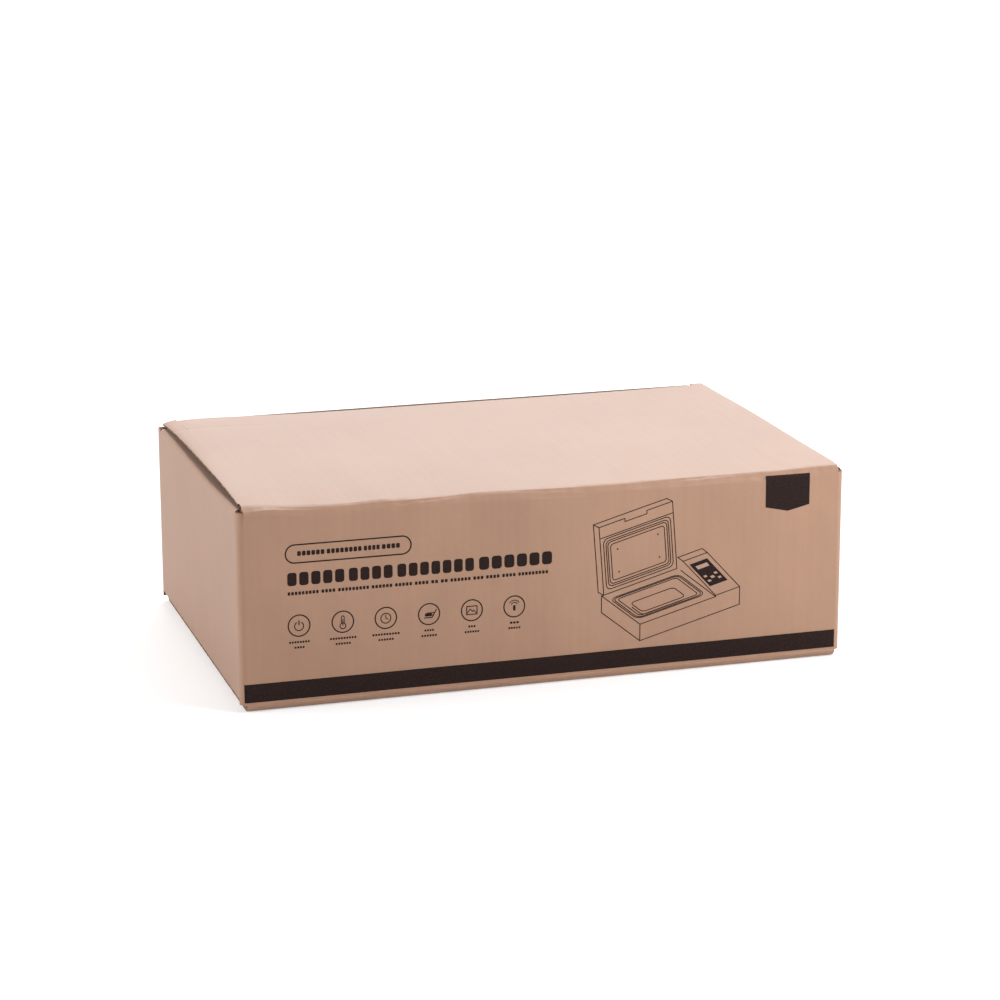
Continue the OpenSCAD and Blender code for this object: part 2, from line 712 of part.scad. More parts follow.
// Board under the panel on four spacers that hang from the shell
module control_board() {
    spread_x = panel_w / 2 - 2;
    spread_y = panel_l / 2 - 8;
    color([0.10, 0.35, 0.20]) in_machine() on_panel() {
        difference() {
            translate([0, 0, -board_gap - 1.6]) slab(panel_w + 4, panel_l - 6, 1.6, 2);
            for (x = [-1, 1], y = [-1, 1]) translate([x * spread_x, y * spread_y, -2 * board_gap])
                cylinder(r = 1.6, h = 3 * board_gap);
        }
        for (x = [-1, 1], y = [-1, 1]) translate([x * spread_x, y * spread_y, -board_gap])
            tube(2.6, 1.6, board_gap - 0.6 - 2 - shell_t + 1.5);
        display_place() translate([0, 0, -board_gap + 2.9]) cube([display_l - 6, display_w - 4, 5.8], center = true);
    }
}
module power_board() {
    bx = block_cx - 2;
    by = wall_in + 44;
    color([0.55, 0.42, 0.20]) in_machine() translate([bx, by, floor_z]) {
        for (x = [-1, 1], y = [-1, 1]) translate([x * 32, y * 22, 0]) post(3, 4);
        translate([0, 0, 4]) slab(74, 54, 1.6, 2);
        translate([-18, 8, 5.6]) cube([26, 22, 18], center = false);
        translate([22, -12, 5.6]) cylinder(r = 8, h = 16);
        translate([2, -12, 5.6]) cylinder(r = 5, h = 14);
        translate([-30, -20, 5.6]) cube([14, 18, 10]);
    }
}

// Pump head: a block with the crank's chamber, and a barb for the hose
module pump_head() {
    chamber_r = head_s / 2 - 5;
    color([0.12, 0.12, 0.13]) in_machine() translate([pump_x, pump_y, pump_z]) difference() {
        union() {
            translate([-head_s / 2, 0, -head_s / 2]) cube([head_s, head_l, head_s]);
            translate([-head_s / 2 - barb_l, valve_y - pump_y, hose_z - pump_z])
                rotate([0, 90, 0]) cylinder(r = hose_bore - run_gap, h = barb_l + 1);
        }
        translate([0, 6, 0]) rotate([-90, 0, 0]) cylinder(r = chamber_r, h = head_l - 10);
        translate([0, head_l - 5, 0]) rotate([-90, 0, 0]) cylinder(r = 1.6 + run_gap, h = 10);
        translate([-head_s / 2 - barb_l - over, valve_y - pump_y, hose_z - pump_z])
            rotate([0, 90, 0]) cylinder(r = hose_bore - 1, h = barb_l + 8);
    }
}
module pump_motor() {
    color([0.60, 0.61, 0.63]) in_machine() translate([pump_x, pump_y + head_l, pump_z]) rotate([-90, 0, 0]) difference() {
        union() {
            cylinder(r = motor_r, h = motor_l);
            translate([0, 0, motor_l - 0.01]) cylinder(r = 5, h = 3);
        }
        translate([0, 0, -over]) cylinder(r = 1.6 + run_gap, h = motor_l - 8);
    }
}
// Motor shaft with the eccentric that drives the pump's diaphragm
module pump_eccentric() {
    color([0.70, 0.71, 0.73]) in_machine() translate([pump_x, pump_y, pump_z]) rotate([-90, 0, 0]) {
        translate([0, 0, 10]) cylinder(r = 1.6, h = head_l + motor_l - 24);
        translate([crank_off, 0, 12]) cylinder(r = 8, h = 8);
    }
}
module valve_body() {
    bore_r = 3;
    color([0.15, 0.25, 0.45]) in_machine() translate([valve_x, valve_y, floor_z]) difference() {
        union() {
            translate([-valve_w / 2, -9, 0]) cube([valve_w, 18, 12]);
            post(valve_w / 2, 14, 11.9);
            translate([-valve_w / 2 - barb_l, 0, hose_z - floor_z])
                rotate([0, 90, 0]) cylinder(r = hose_bore - run_gap, h = valve_w + 2 * barb_l);
        }
        post(bore_r + run_gap, 14, 8);
        translate([-20, 0, hose_z - floor_z]) rotate([0, 90, 0]) cylinder(r = hose_bore - 1, h = 50);
    }
}
module valve_plunger() {
    color([0.70, 0.71, 0.73]) in_machine() translate([valve_x, valve_y, floor_z]) post(3, 10.5, 8.2);
}
module fan_frame() {
    bore = fan_s / 2 - 2;
    color([0.10, 0.10, 0.10]) in_machine() translate([fan_cx, fan_y - seat, fan_z]) rotate([-90, 0, 0]) difference() {
        union() {
            difference() {
                translate([-fan_s / 2, -fan_s / 2, 0]) cube([fan_s, fan_s, fan_t]);
                translate([0, 0, -over]) cylinder(r = bore, h = fan_t + 2 * over);
            }
            for (a = [0:90:270]) rotate([0, 0, a + 45]) translate([0, -1.5, 0]) cube([bore + 2, 3, 2]);
            cylinder(r = 9, h = 2);
            cylinder(r = 3.5, h = 6);
        }
        translate([0, 0, 0.5]) cylinder(r = 1.5 + run_gap, h = 8);
        for (x = [-1, 1], y = [-1, 1]) translate([x * (fan_s / 2 - 4), y * (fan_s / 2 - 4), -over])
            cylinder(r = 1.7, h = fan_t + 2 * over);
    }
}
module fan_rotor() {
    blade_r = fan_s / 2 - 3;
    blades = 7;
    color([0.14, 0.14, 0.14]) in_machine() translate([fan_cx, fan_y - seat, fan_z]) rotate([-90, 0, 0]) {
        difference() {
            translate([0, 0, 3]) cylinder(r = 9, h = fan_t - 5);
            translate([0, 0, 2]) cylinder(r = 7.5, h = 5.5);
        }
        translate([0, 0, 1]) cylinder(r = 1.5, h = 8);
        intersection() {
            for (i = [0:blades - 1]) rotate([0, 0, i * 360 / blades]) translate([8, 0, fan_t / 2 + 0.5])
                rotate([35, 0, 0]) translate([0, -6, -0.6]) cube([blade_r - 8, 12, 1.2]);
            translate([0, 0, 3]) cylinder(r = blade_r, h = fan_t - 5);
        }
    }
}
module power_inlet() {
    color([0.06, 0.06, 0.06]) in_machine() translate([inlet_x, case_d / 2, socket_z]) difference() {
        union() {
            translate([-inlet_w / 2 - 3, 0, -inlet_h / 2 - 3]) cube([inlet_w + 6, 2, inlet_h + 6]);
            translate([-inlet_w / 2 + 0.2, -18, -inlet_h / 2 + 0.2]) cube([inlet_w - 0.4, 18.01, inlet_h - 0.4]);
        }
        difference() {
            translate([-inlet_w / 2 + 2, -15, -inlet_h / 2 + 2]) cube([inlet_w - 4, 18, inlet_h - 4]);
            for (x = [-1, 0, 1]) translate([x * 7 - 1, -16, (x == 0 ? 1.5 : -3.5)]) cube([2, 9, 2]);
        }
    }
}
module switch_body() {
    color([0.08, 0.08, 0.08]) in_machine() translate([switch_x, case_d / 2, socket_z]) difference() {
        union() {
            translate([-switch_w / 2 - 1.5, 0, -switch_h / 2 - 1.5]) cube([switch_w + 3, 1.5, switch_h + 3]);
            translate([-switch_w / 2 + 0.2, -14, -switch_h / 2 + 0.2]) cube([switch_w - 0.4, 14.01, switch_h - 0.4]);
        }
        translate([-switch_w / 2 + 1.7, -8, -switch_h / 2 + 1.7]) cube([switch_w - 3.4, 12, switch_h - 3.4]);
        translate([0, -2.5, -switch_h]) cylinder(r = 1 + run_gap, h = 2 * switch_h);
    }
}
// Rocker on a pin along Z, its face bent so that one half stands out
module switch_rocker() {
    w = switch_w / 2 - 2.6;
    h = switch_h - 4.4;
    color([0.65, 0.05, 0.05]) in_machine() translate([switch_x, case_d / 2 - 2.5, socket_z]) {
        rotate([0, 0, -8]) translate([0, 0, -h / 2]) linear_extrude(h)
            polygon([[-w, -1.5], [w, -1.5], [w, 3.4], [0, 4.2], [-w, 5.2]]);
        translate([0, 0, -switch_h / 2 + 0.5]) cylinder(r = 1, h = switch_h - 1);
    }
}

// Two ears on the trough with the running bores of the hinges
module hinge_brackets() {
    color([0.45, 0.46, 0.48]) in_machine() for (x = hinge_xs) translate([x, hinge_y, 0]) difference() {
        union() {
            translate([-10, -6, trough_z]) cube([20, 12, 2]);
            translate([-ear_t / 2, -3.5, trough_z]) cube([ear_t, 7, hinge_z - trough_z]);
            translate([-ear_t / 2, 0, hinge_z]) rotate([0, 90, 0]) cylinder(r = 3.5, h = ear_t);
        }
        translate([-ear_t, 0, hinge_z]) rotate([0, 90, 0]) cylinder(r = pin_r + run_gap, h = 2 * ear_t);
    }
}
// Two leaves inside the lid, each with a pair of cheeks that hold the pin
module hinge_leaves() {
    cheek_x = ear_t / 2 + 0.4;
    color([0.45, 0.46, 0.48]) in_machine() for (x = hinge_xs) translate([x, hinge_y, 0]) difference() {
        union() {
            for (s = [0, 1]) mirror([s, 0, 0]) translate([cheek_x, 0, hinge_z]) {
                rotate([0, 90, 0]) cylinder(r = 3.7, h = leaf_t);
                translate([0, -3.7, 0]) cube([leaf_t, 6.4, 12]);
            }
            translate([-cheek_x - leaf_t, 2.4, hinge_z + 5]) cube([2 * (cheek_x + leaf_t), 0.6, 12]);
        }
        translate([-20, 0, hinge_z]) rotate([0, 90, 0]) cylinder(r = pin_r, h = 40);
    }
}
module hinge_pins() {
    pin_l = ear_t + 2 * (0.4 + leaf_t) + 2;
    color([0.72, 0.73, 0.75]) in_machine() for (x = hinge_xs)
        translate([x - pin_l / 2, hinge_y, hinge_z]) rotate([0, 90, 0]) cylinder(r = pin_r, h = pin_l);
}

// Outline of the lid in Y and Z, drawn in by t, round at the hinge line
module lid_outline(t) {
    y0 = lid_y0 + t;
    y1 = lid_y1 - t;
    z1 = lid_z + lid_h - t;
    r = 9 - t;
    drop = (t > 0 ? over : 0);
    polygon(concat(
        [[y0, lid_z - drop]],
        arc([y0 + r, z1 - r], r, 180, 90),
        arc([y1 - r, z1 - r], r, 90, 0),
        (t > 0 ? [[y1, hinge_z], [y1 - 1, lid_z - drop]]
            : concat([[y1, hinge_z]], arc([hinge_y, hinge_z], hinge_r, 0, -90)))
    ));
}
notch_w = 76;
notch_h = 24;
notch_z = lid_z + clamp_t + membrane_t + frame_t + 3.5;
grip_r = 3.5;
module press_lid_shell() {
    color([0.92, 0.92, 0.91]) in_machine() difference() {
        intersection() {
            translate([lid_cx, 0, 0]) along_x(lid_len) lid_outline(0);
            translate([lid_cx, lid_cy, 0]) slab(lid_len, lid_dep, 2 * lid_z, 12);
        }
        intersection() {
            translate([lid_cx, 0, 0]) along_x(lid_len - 2 * shell_t) lid_outline(shell_t);
            translate([lid_cx, lid_cy, 0]) slab(lid_len - 2 * shell_t, lid_dep - 2 * shell_t, 2 * lid_z, 12 - shell_t);
        }
        translate([lid_cx - notch_w / 2, lid_y0 - over, notch_z]) cube([notch_w, 3 * shell_t + over, notch_h]);
        for (x = hinge_xs) translate([x - 12, hinge_y - 7, lid_z - over]) cube([24, 20, hinge_r + 9]);
    }
}
// Pocket behind the lid's front notch, with a grip bar across its top
module lid_handle() {
    back = 18;
    color([0.15, 0.15, 0.16]) in_machine() intersection() {
        translate([lid_cx, lid_y0 + shell_t, notch_z]) {
            difference() {
                translate([-notch_w / 2 - 2, 0, -1.5]) cube([notch_w + 4, back, notch_h + 3]);
                translate([-notch_w / 2, -over, 0]) cube([notch_w, back - 2 + over, notch_h]);
            }
            translate([-notch_w / 2 - 1, grip_r, notch_h - grip_r - 1])
                rotate([0, 90, 0]) cylinder(r = grip_r, h = notch_w + 2);
        }
        translate([lid_cx, 0, 0]) along_x(lid_len) lid_outline(shell_t + 0.1);
    }
}
// Sheet frame across the lid with the heater's window
frame_l = lid_len - 2 * shell_t - 1;
frame_y0 = lid_y0 + shell_t + 0.5;
frame_y1 = hinge_y - 8;
window_l = heater_l + 8;
window_w = heater_w + 8;
module lid_plate(t, l_in, w_in) {
    difference() {
        translate([lid_cx, (frame_y0 + frame_y1) / 2, 0]) slab(frame_l, frame_y1 - frame_y0, t, 8);
        translate([lid_cx, chamber_cy, -over]) slab(l_in, w_in, t + 2 * over, 8);
    }
}
// Screws down the middle of the frame's border, whose inner edge the membrane frame sets
window_step = 4;
clamp_x = (window_l / 2 + window_step + frame_l / 2) / 2;
clamp_xy = concat(
    [for (x = [-1, 0, 1], y = [-1, 1]) [lid_cx + x * clamp_x, chamber_cy + y * (window_w / 2 + 12)]],
    [for (x = [-1, 1]) [lid_cx + x * clamp_x, chamber_cy]]
);
heater_xy = [for (x = [-1, 1], y = [-1, 1]) [lid_cx + x * (heater_l / 2 - 14), chamber_cy + y * (heater_w / 2 - 14)]];
module clamp_holes(r) {
    for (p = clamp_xy) translate([p.x, p.y, 0]) post(r, 2 * lid_z);
}
module lid_frame() {
    z = lid_z + clamp_t + membrane_t;
    color([0.70, 0.71, 0.73]) in_machine() difference() {
        translate([0, 0, z]) lid_plate(frame_t, window_l, window_w);
        clamp_holes(screw_r);
    }
}
module membrane_frame() {
    color([0.25, 0.26, 0.28]) in_machine() difference() {
        translate([0, 0, lid_z]) lid_plate(clamp_t, window_l + 2 * window_step, window_w + 2 * window_step);
        clamp_holes(screw_r);
    }
}
// Silicone sheet, clamped all round between the two frames
module membrane() {
    color([0.88, 0.62, 0.40, 0.8]) in_machine() difference() {
        translate([lid_cx, (frame_y0 + frame_y1) / 2, lid_z + clamp_t])
            slab(frame_l, frame_y1 - frame_y0, membrane_t, 8);
        clamp_holes(screw_r);
    }
}
module heater_plate() {
    color([0.66, 0.67, 0.69]) in_machine() difference() {
        translate([lid_cx, chamber_cy, plate_z]) slab(heater_l, heater_w, heater_t, 6);
        for (p = heater_xy) translate([p.x, p.y, 0]) post(screw_r, 2 * lid_z);
    }
}
// Flattened tubular element on the plate's back, laid to and fro in four runs
element_in = 30;
module heating_element() {
    x = heater_l / 2 - element_in;
    pitch = (heater_w - 2 * element_in) / 3;
    inner = pitch / 2 - element_r;
    outer = pitch / 2 + element_r;
    low = -1.5 * pitch;
    high = 1.5 * pitch;
    color([0.50, 0.32, 0.24]) in_machine() translate([lid_cx, chamber_cy, plate_z + heater_t])
        linear_extrude(2 * element_r - 1) polygon(concat(
            [[-x, low - element_r]],
            arc([x, -pitch], outer, -90, 90, 12),
            arc([-x, 0], inner, 270, 90, 12),
            arc([x, pitch], outer, -90, 90, 12),
            [[-x, high + element_r], [-x, high - element_r]],
            arc([x, pitch], inner, 90, -90, 12),
            arc([-x, 0], outer, 90, 270, 12),
            arc([x, -pitch], inner, 90, -90, 12),
            [[-x, low + element_r]]
        ));
}
module insulation_pad() {
    color([0.90, 0.89, 0.85]) in_machine() difference() {
        translate([lid_cx, chamber_cy, blanket_z]) slab(heater_l, heater_w, blanket_t, 6);
        for (p = heater_xy) translate([p.x, p.y, 0]) post(screw_r + 1, 3 * lid_z);
        translate([lid_cx, chamber_cy, 0]) post(9, 3 * lid_z);
    }
}
// Screws of the clamp frame, and the four long ones that hang the heater plate from the lid's roof
module lid_screws() {
    roof_z = lid_z + lid_h - shell_t;
    color([0.30, 0.31, 0.33]) in_machine() {
        for (p = clamp_xy) translate([p.x, p.y, lid_z]) {
            post(screw_r, clamp_t + membrane_t + frame_t + 3);
            post(2.6, 2.4, clamp_t + membrane_t + frame_t);
        }
        for (p = heater_xy) translate([p.x, p.y, 0]) {
            post(screw_r, roof_z - plate_z, plate_z);
            post(3, 1.4, plate_z - 1.4);
            post(3.4, 4, roof_z - 4);
        }
    }
}
module thermostat() {
    stem = 2 * element_r;
    color([0.80, 0.80, 0.78]) in_machine() translate([lid_cx, chamber_cy, plate_z + heater_t]) {
        post(5, stem);
        post(7.5, 5, stem);
        for (x = [-1, 1]) translate([x * 3 - 1, -0.4, stem + 4.9]) cube([2, 0.8, 5]);
    }
}

front_wall();
back_wall();
left_wall();
right_wall();
glue_tab();
bottom_flap_front();
bottom_flap_back();
bottom_flap_left();
bottom_flap_right();
bottom_glue();
lid_panel();
lid_pad();
tuck_flap();
dust_flap_left();
dust_flap_right();
foam_cap_left();
foam_cap_right();
lower_shell();
upper_shell();
rubber_feet();
case_screws();
chamber_basin();
platen();
phone_mould();
chamber_gasket();
vacuum_port();
vacuum_hose();
control_overlay();
display_window();
key_power();
key_set();
key_up();
key_down();
key_start();
control_board();
power_board();
pump_head();
pump_motor();
pump_eccentric();
valve_body();
valve_plunger();
fan_frame();
fan_rotor();
power_inlet();
switch_body();
switch_rocker();
hinge_brackets();
press_lid_shell();
lid_frame();
heater_plate();
heating_element();
insulation_pad();
lid_screws();
membrane();
membrane_frame();
thermostat();
lid_handle();
hinge_leaves();
hinge_pins();
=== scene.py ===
"""A closed corrugated carton with a clamshell vacuum press packed in foam inside it.
Everything is in metres, in the frame of its CAD model."""
import bmesh
import bpy
import numpy as np
from mathutils import Matrix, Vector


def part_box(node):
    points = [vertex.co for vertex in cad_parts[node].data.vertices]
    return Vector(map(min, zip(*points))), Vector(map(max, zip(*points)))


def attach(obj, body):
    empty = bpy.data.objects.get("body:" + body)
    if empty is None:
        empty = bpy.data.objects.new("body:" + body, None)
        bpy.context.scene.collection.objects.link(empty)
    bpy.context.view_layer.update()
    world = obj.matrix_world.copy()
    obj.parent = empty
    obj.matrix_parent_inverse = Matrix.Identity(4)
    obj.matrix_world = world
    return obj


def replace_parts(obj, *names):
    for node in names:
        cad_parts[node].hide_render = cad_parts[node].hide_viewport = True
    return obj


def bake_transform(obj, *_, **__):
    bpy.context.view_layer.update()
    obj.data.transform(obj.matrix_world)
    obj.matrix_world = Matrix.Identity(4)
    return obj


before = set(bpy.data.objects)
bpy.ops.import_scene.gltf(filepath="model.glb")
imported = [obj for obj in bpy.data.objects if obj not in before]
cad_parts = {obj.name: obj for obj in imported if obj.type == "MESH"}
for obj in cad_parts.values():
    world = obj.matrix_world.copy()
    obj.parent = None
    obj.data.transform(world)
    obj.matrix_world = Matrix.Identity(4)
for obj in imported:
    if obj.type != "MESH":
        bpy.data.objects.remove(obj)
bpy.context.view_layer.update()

# Camera: a long lens in front of the printed wall, a little to its left and above it, held almost level.
# The angles are yaw to the right, pitch downwards and roll, in degrees.
yaw, pitch, roll = np.radians([16.854, 14.711, -0.162])
ahead = np.array([np.sin(yaw) * np.cos(pitch), np.cos(yaw) * np.cos(pitch), -np.sin(pitch)])
level = np.array([np.cos(yaw), -np.sin(yaw), 0.0])
above = np.cross(level, ahead)
across = level * np.cos(roll) + above * np.sin(roll)
upward = above * np.cos(roll) - level * np.sin(roll)
camera = bpy.data.objects.new("camera", bpy.data.cameras.new("camera"))
camera.data.lens, camera.data.sensor_width, camera.data.clip_end = 109.62, 36.0, 60.0
placed = np.eye(4)
placed[:3, :3] = np.stack([across, upward, -ahead], 1)
placed[:3, 3] = [-0.63612, -2.12580, 0.68238]
camera.matrix_world = Matrix(placed.tolist())
bpy.context.scene.collection.objects.link(camera)
bpy.context.scene.camera = camera
bpy.context.scene.view_settings.view_transform = "Standard"


# Floor and backdrop: one white sheet of studio paper. A large soft lamp hangs behind and above the carton, a
# second stands on its left and a small one at its front right. The paper shows white to the camera and keeps
# the carton's soft shadow.
class Shade:
    """One socket of a node tree. Sums on it add Math nodes, and node() adds any other node."""

    def __init__(self, tree, socket=None):
        self.tree, self.socket = tree, socket

    def node(self, kind, settings=None, sockets=None, out=0):
        """Adds a node of that kind, sets it up, and fills its sockets with values or links.
        The result is its output number out."""
        made = self.tree.nodes.new(kind)
        for name, value in (settings or {}).items():
            setattr(made, name, value)
        for name, value in (sockets or {}).items():
            if isinstance(value, Shade):
                self.tree.links.new(value.socket, made.inputs[name])
            else:
                made.inputs[name].default_value = value
        return Shade(self.tree, made.outputs[out])

    def sum(self, operation, a, b=0.0):
        return self.node("ShaderNodeMath", {"operation": operation}, {0: a, 1: b})

    def __add__(self, other):
        return self.sum("ADD", self, other)

    def __mul__(self, other):
        return self.sum("MULTIPLY", self, other)

    def __sub__(self, other):
        return self.sum("SUBTRACT", self, other)

    def __rsub__(self, other):
        return self.sum("SUBTRACT", other, self)

    __radd__, __rmul__ = __add__, __mul__

    def over(self, low, high):
        """0 where the value is under low, 1 where it is over high, and smooth between."""
        return self.node("ShaderNodeMapRange", {"interpolation_type": "SMOOTHSTEP"},
                         {0: self, 1: low, 2: high, 3: 0.0, 4: 1.0})

    def mixed(self, a, b):
        """Colour a where the value is 0, b where it is 1."""
        pair = {6: a if isinstance(a, Shade) else (*a, 1.0), 7: b if isinstance(b, Shade) else (*b, 1.0)}
        return self.node("ShaderNodeMix", {"data_type": "RGBA"}, {0: self, **pair}, out=2)

    def spots(self, size, detail=2.0, stretch=(1.0, 1.0, 1.0)):
        """Soft noise on the vector self, whose lumps are about size metres across, pulled out by stretch."""
        place = self.node("ShaderNodeMapping", None, {0: self, 3: stretch})
        return place.node("ShaderNodeTexNoise", None,
                          {"Vector": place, "Scale": 0.7 / size, "Detail": detail, "Roughness": 0.55})


def finish(name, rough, metal=0.0, **fixed):
    """An empty material of one shader with its constants set, the place on the object,
    and a function that fills its other sockets."""
    made = bpy.data.materials.new(name)
    made.use_nodes = True
    shader = made.node_tree.nodes["Principled BSDF"]
    shader.inputs["Roughness"].default_value, shader.inputs["Metallic"].default_value = rough, metal
    for socket, value in fixed.items():
        shader.inputs[socket.replace("_", " ")].default_value = value

    def fill(bump=None, depth=0.0001, **sockets):
        if bump is not None:
            sockets["Normal"] = bump.node("ShaderNodeBump", None,
                                          {"Strength": 1.0, "Distance": depth, "Height": bump})
        for socket, value in sockets.items():
            target = shader.inputs[socket.replace("_", " ")]
            if isinstance(value, Shade):
                made.node_tree.links.new(value.socket, target)
            else:
                target.default_value = (*value, 1.0) if isinstance(value, tuple) else value
    place = Shade(made.node_tree).node("ShaderNodeTexCoord", out=3)
    return made, place, fill


def tint(red, green, blue):
    """A colour on the screen's 0 to 255 scale, as the linear light that a shader takes."""
    c = np.array([red, green, blue]) / 255.0
    return tuple(float(v) for v in np.where(c < 0.04045, c / 12.92, ((c + 0.055) / 1.055) ** 2.4))


def shown(name, mesh):
    """An object for the mesh, smooth but for its edges of more than 0.6 radians."""
    mesh.polygons.foreach_set("use_smooth", np.ones(len(mesh.polygons), bool))
    mesh.set_sharp_from_angle(angle=0.6)
    mesh.update()
    obj = bpy.data.objects.new(name, mesh)
    bpy.context.scene.collection.objects.link(obj)
    return obj


def surface(name, points, faces, looks, marks=None, uv=None):
    """An object from arrays of points and faces. marks is each face's material, and uv each face corner's place
    on its map."""
    mesh = bpy.data.meshes.new(name)
    mesh.from_pydata(np.asarray(points, float).tolist(), [], [list(f) for f in faces])
    for look in looks:
        mesh.materials.append(look)
    if marks is not None:
        mesh.polygons.foreach_set("material_index", np.asarray(marks, np.int32))
    if uv is not None:
        mesh.uv_layers.new(name="UVMap").data.foreach_set("uv", np.asarray(uv, np.float32).ravel())
    return shown(name, mesh)


paper, place, fill = finish("studio_paper", 0.9, Specular_IOR_Level=0.1)
fill(Base_Color=(0.86, 0.86, 0.86))
tree = paper.node_tree
seen = Shade(tree).node("ShaderNodeLightPath")
far = place.node("ShaderNodeVectorMath", {"operation": "LENGTH"}, {0: place}, out=1)
glow_near, glow_far = 0.40, 0.7
glow = seen.node("ShaderNodeEmission", None,
                 {"Color": (1.0, 1.0, 1.0, 1.0),
                  "Strength": seen * (glow_near + far.over(0.9, 4.0) * glow_far)})
matt = Shade(tree, tree.nodes["Principled BSDF"].outputs[0])
both = seen.node("ShaderNodeAddShader", None, {0: matt, 1: glow})
tree.links.new(both.socket, tree.nodes["Material Output"].inputs["Surface"])
floor = surface("floor", [[-14, -8, 0], [14, -8, 0], [14, 20, 0], [-14, 20, 0]], [[0, 1, 2, 3]], [paper])

world = bpy.data.worlds.new("studio")
world.use_nodes = True
bpy.context.scene.world = world
air = Shade(world.node_tree).node("ShaderNodeLightPath")
glossy = Shade(world.node_tree, air.socket.node.outputs["Is Glossy Ray"])
through = Shade(world.node_tree, air.socket.node.outputs["Is Transmission Ray"])
white = air.sum("MINIMUM", air + glossy + through, 1.0)
sky = world.node_tree.nodes["Background"]
on_object = 0.34  # the share of the white sky that lights the object; the camera and reflections see all of it
world.node_tree.links.new((on_object + (1 - on_object) * white).socket, sky.inputs["Strength"])
sky.inputs["Color"].default_value = (0.99, 1.0, 1.01, 1.0)

for name, place, aim, size, power in (
    ("lamp_behind", (0.9, 2.2, 2.0), (0.0, 0.0, 0.05), 2.4, 66.0),
    ("lamp_left", (-2.5, 0.2, 1.2), (0.0, 0.0, 0.07), 1.6, 36.0),
    ("lamp_front", (0.95, -0.90, 0.80), (0.2, 0.0, 0.07), 0.5, 12.5),
):
    lamp = bpy.data.objects.new(name, bpy.data.lights.new(name, "AREA"))
    lamp.data.size, lamp.data.energy, lamp.data.color = size, power, (0.985, 1.0, 1.02)
    back = np.array(place) - np.array(aim)
    back = back / np.linalg.norm(back)
    side = np.cross([0, 0, 1], back)
    side = side / np.linalg.norm(side)
    turn = np.eye(4)
    turn[:3] = np.stack([side, np.cross(back, side), back, place], 1)
    lamp.matrix_world = Matrix(turn.tolist())
    bpy.context.scene.collection.objects.link(lamp)


# Corrugated board: double-wall kraft, 5 mm thick, whose flutes run up the walls and from front to back over
# the lid. The liners show faint flute lines and mottling. A cut across the flutes shows their waves, a cut
# along them only liners, and both cuts are painted darker than the board as shade.
half_l, half_w, high = 0.225, 0.14625, 0.1437  # half the length and width, and the height of the top creases
board, bend = 0.005, 0.0054  # thickness, and the outer radius of a fold
tuck_y, lid_half = 0.14045, 0.2215  # the lid's far crease, and half its length
slot = 0.0045  # how far the long creases stop short of the carton's ends


def kraft(name, light, axis):
    """Kraft liner: base colour times slow mottling and fine fibres, with flute lines of 6.6 mm pitch
    along axis, 0 for X and 1 for Y."""
    made, place, fill = finish(name, 0.6, Specular_IOR_Level=0.5, Sheen_Weight=0.22, Sheen_Roughness=0.5)
    spot = place.node("ShaderNodeSeparateXYZ", None, {0: place}, out=axis)
    slow = place.spots(0.09, 3.0)
    cloud = place.spots(0.018, 3.0, (1.0, 1.0, 0.5))
    fibre = place.spots(0.0012, 3.0)
    streak = place.spots(0.005, 2.0, (1.0, 0.07, 0.05) if axis == 0 else (0.07, 1.0, 0.05))
    flute = place.sum("SINE", spot * (2 * np.pi / 0.0066) + slow * 5.0)
    shade = (0.5 + (slow - 0.5) * 0.8 + (cloud - 0.5) * 0.6 + (fibre - 0.5) * 0.35
             + (streak - 0.5) * 0.3 + flute * 0.02)
    dark, pale = tuple(v * 0.86 for v in light), tuple(min(1.0, v * 1.13) for v in light)
    fill(Base_Color=shade.mixed(dark, pale), Roughness=0.57 + (cloud - 0.5) * 0.1 + (fibre - 0.5) * 0.1,
         bump=flute * 0.08 + cloud * 0.35 + fibre * 0.30, depth=0.00020)
    return made


def cut_edge(name, crossed):
    """The cut edge of double-wall board on its own UV map, metres along and 0 to 1 across.
    A crossed one shows two rows of waves, any other only torn liners. Its colours are painted shade: darker
    than the board, for the dim gap under the lid and the corner notches."""
    made, place, fill = finish(name, 0.85, Specular_IOR_Level=0.2)
    lay = place.node("ShaderNodeUVMap", {"uv_map": "UVMap"})
    along = lay.node("ShaderNodeSeparateXYZ", None, {0: lay})
    deep = lay.node("ShaderNodeSeparateXYZ", None, {0: lay}, out=1)
    stroke = 0.0 * along
    flutes = ((0.17, 0.13, 0.0034), (0.67, 0.28, 0.0064)) if crossed else ()
    for middle, swing, pitch in flutes:
        wave = place.sum("SINE", along * (2 * np.pi / pitch))
        gap = place.sum("ABSOLUTE", deep - middle - wave * swing)
        stroke = place.sum("MAXIMUM", stroke, 1.0 - gap.over(0.035, 0.10))
    for line in (0.0, 0.33, 1.0):
        gap = place.sum("ABSOLUTE", deep - line)
        stroke = place.sum("MAXIMUM", stroke, 1.0 - gap.over(0.05, 0.11))
    grain = place.spots(0.0022, 3.0)
    if not crossed:
        stroke = place.sum("MAXIMUM", stroke, grain.over(0.40, 0.56))
    # Painted shade: the strokes take a near-black shadow colour, and the pulp between them is painted darker
    # than the board, standing in for the shade in the gap under the lid and in the notches.
    shadow, pulp_and_painted_shade = tint(44, 28, 21), grain.mixed(tint(132, 100, 78), tint(184, 150, 124))
    fill(Base_Color=stroke.mixed(shadow, pulp_and_painted_shade), bump=stroke + grain * 0.4, depth=0.0004)
    return made


liner_x = kraft("kraft_liner_walls", tint(179, 138, 112), 0)
liner_y = kraft("kraft_liner_sides", tint(179, 138, 112), 1)
liner_in = kraft("kraft_liner_inside", tint(188, 150, 120), 0)
waves, torn = cut_edge("cut_across_flutes", True), cut_edge("cut_along_flutes", False)
wall_looks, side_looks = [liner_x, liner_in, waves, torn], [liner_y, liner_in, waves, torn]


def quads(k):
    """The faces with four corners between the points whose numbers are the grid k."""
    return np.stack([k[:-1, :-1], k[1:, :-1], k[1:, 1:], k[:-1, 1:]], -1).reshape(-1, 4)


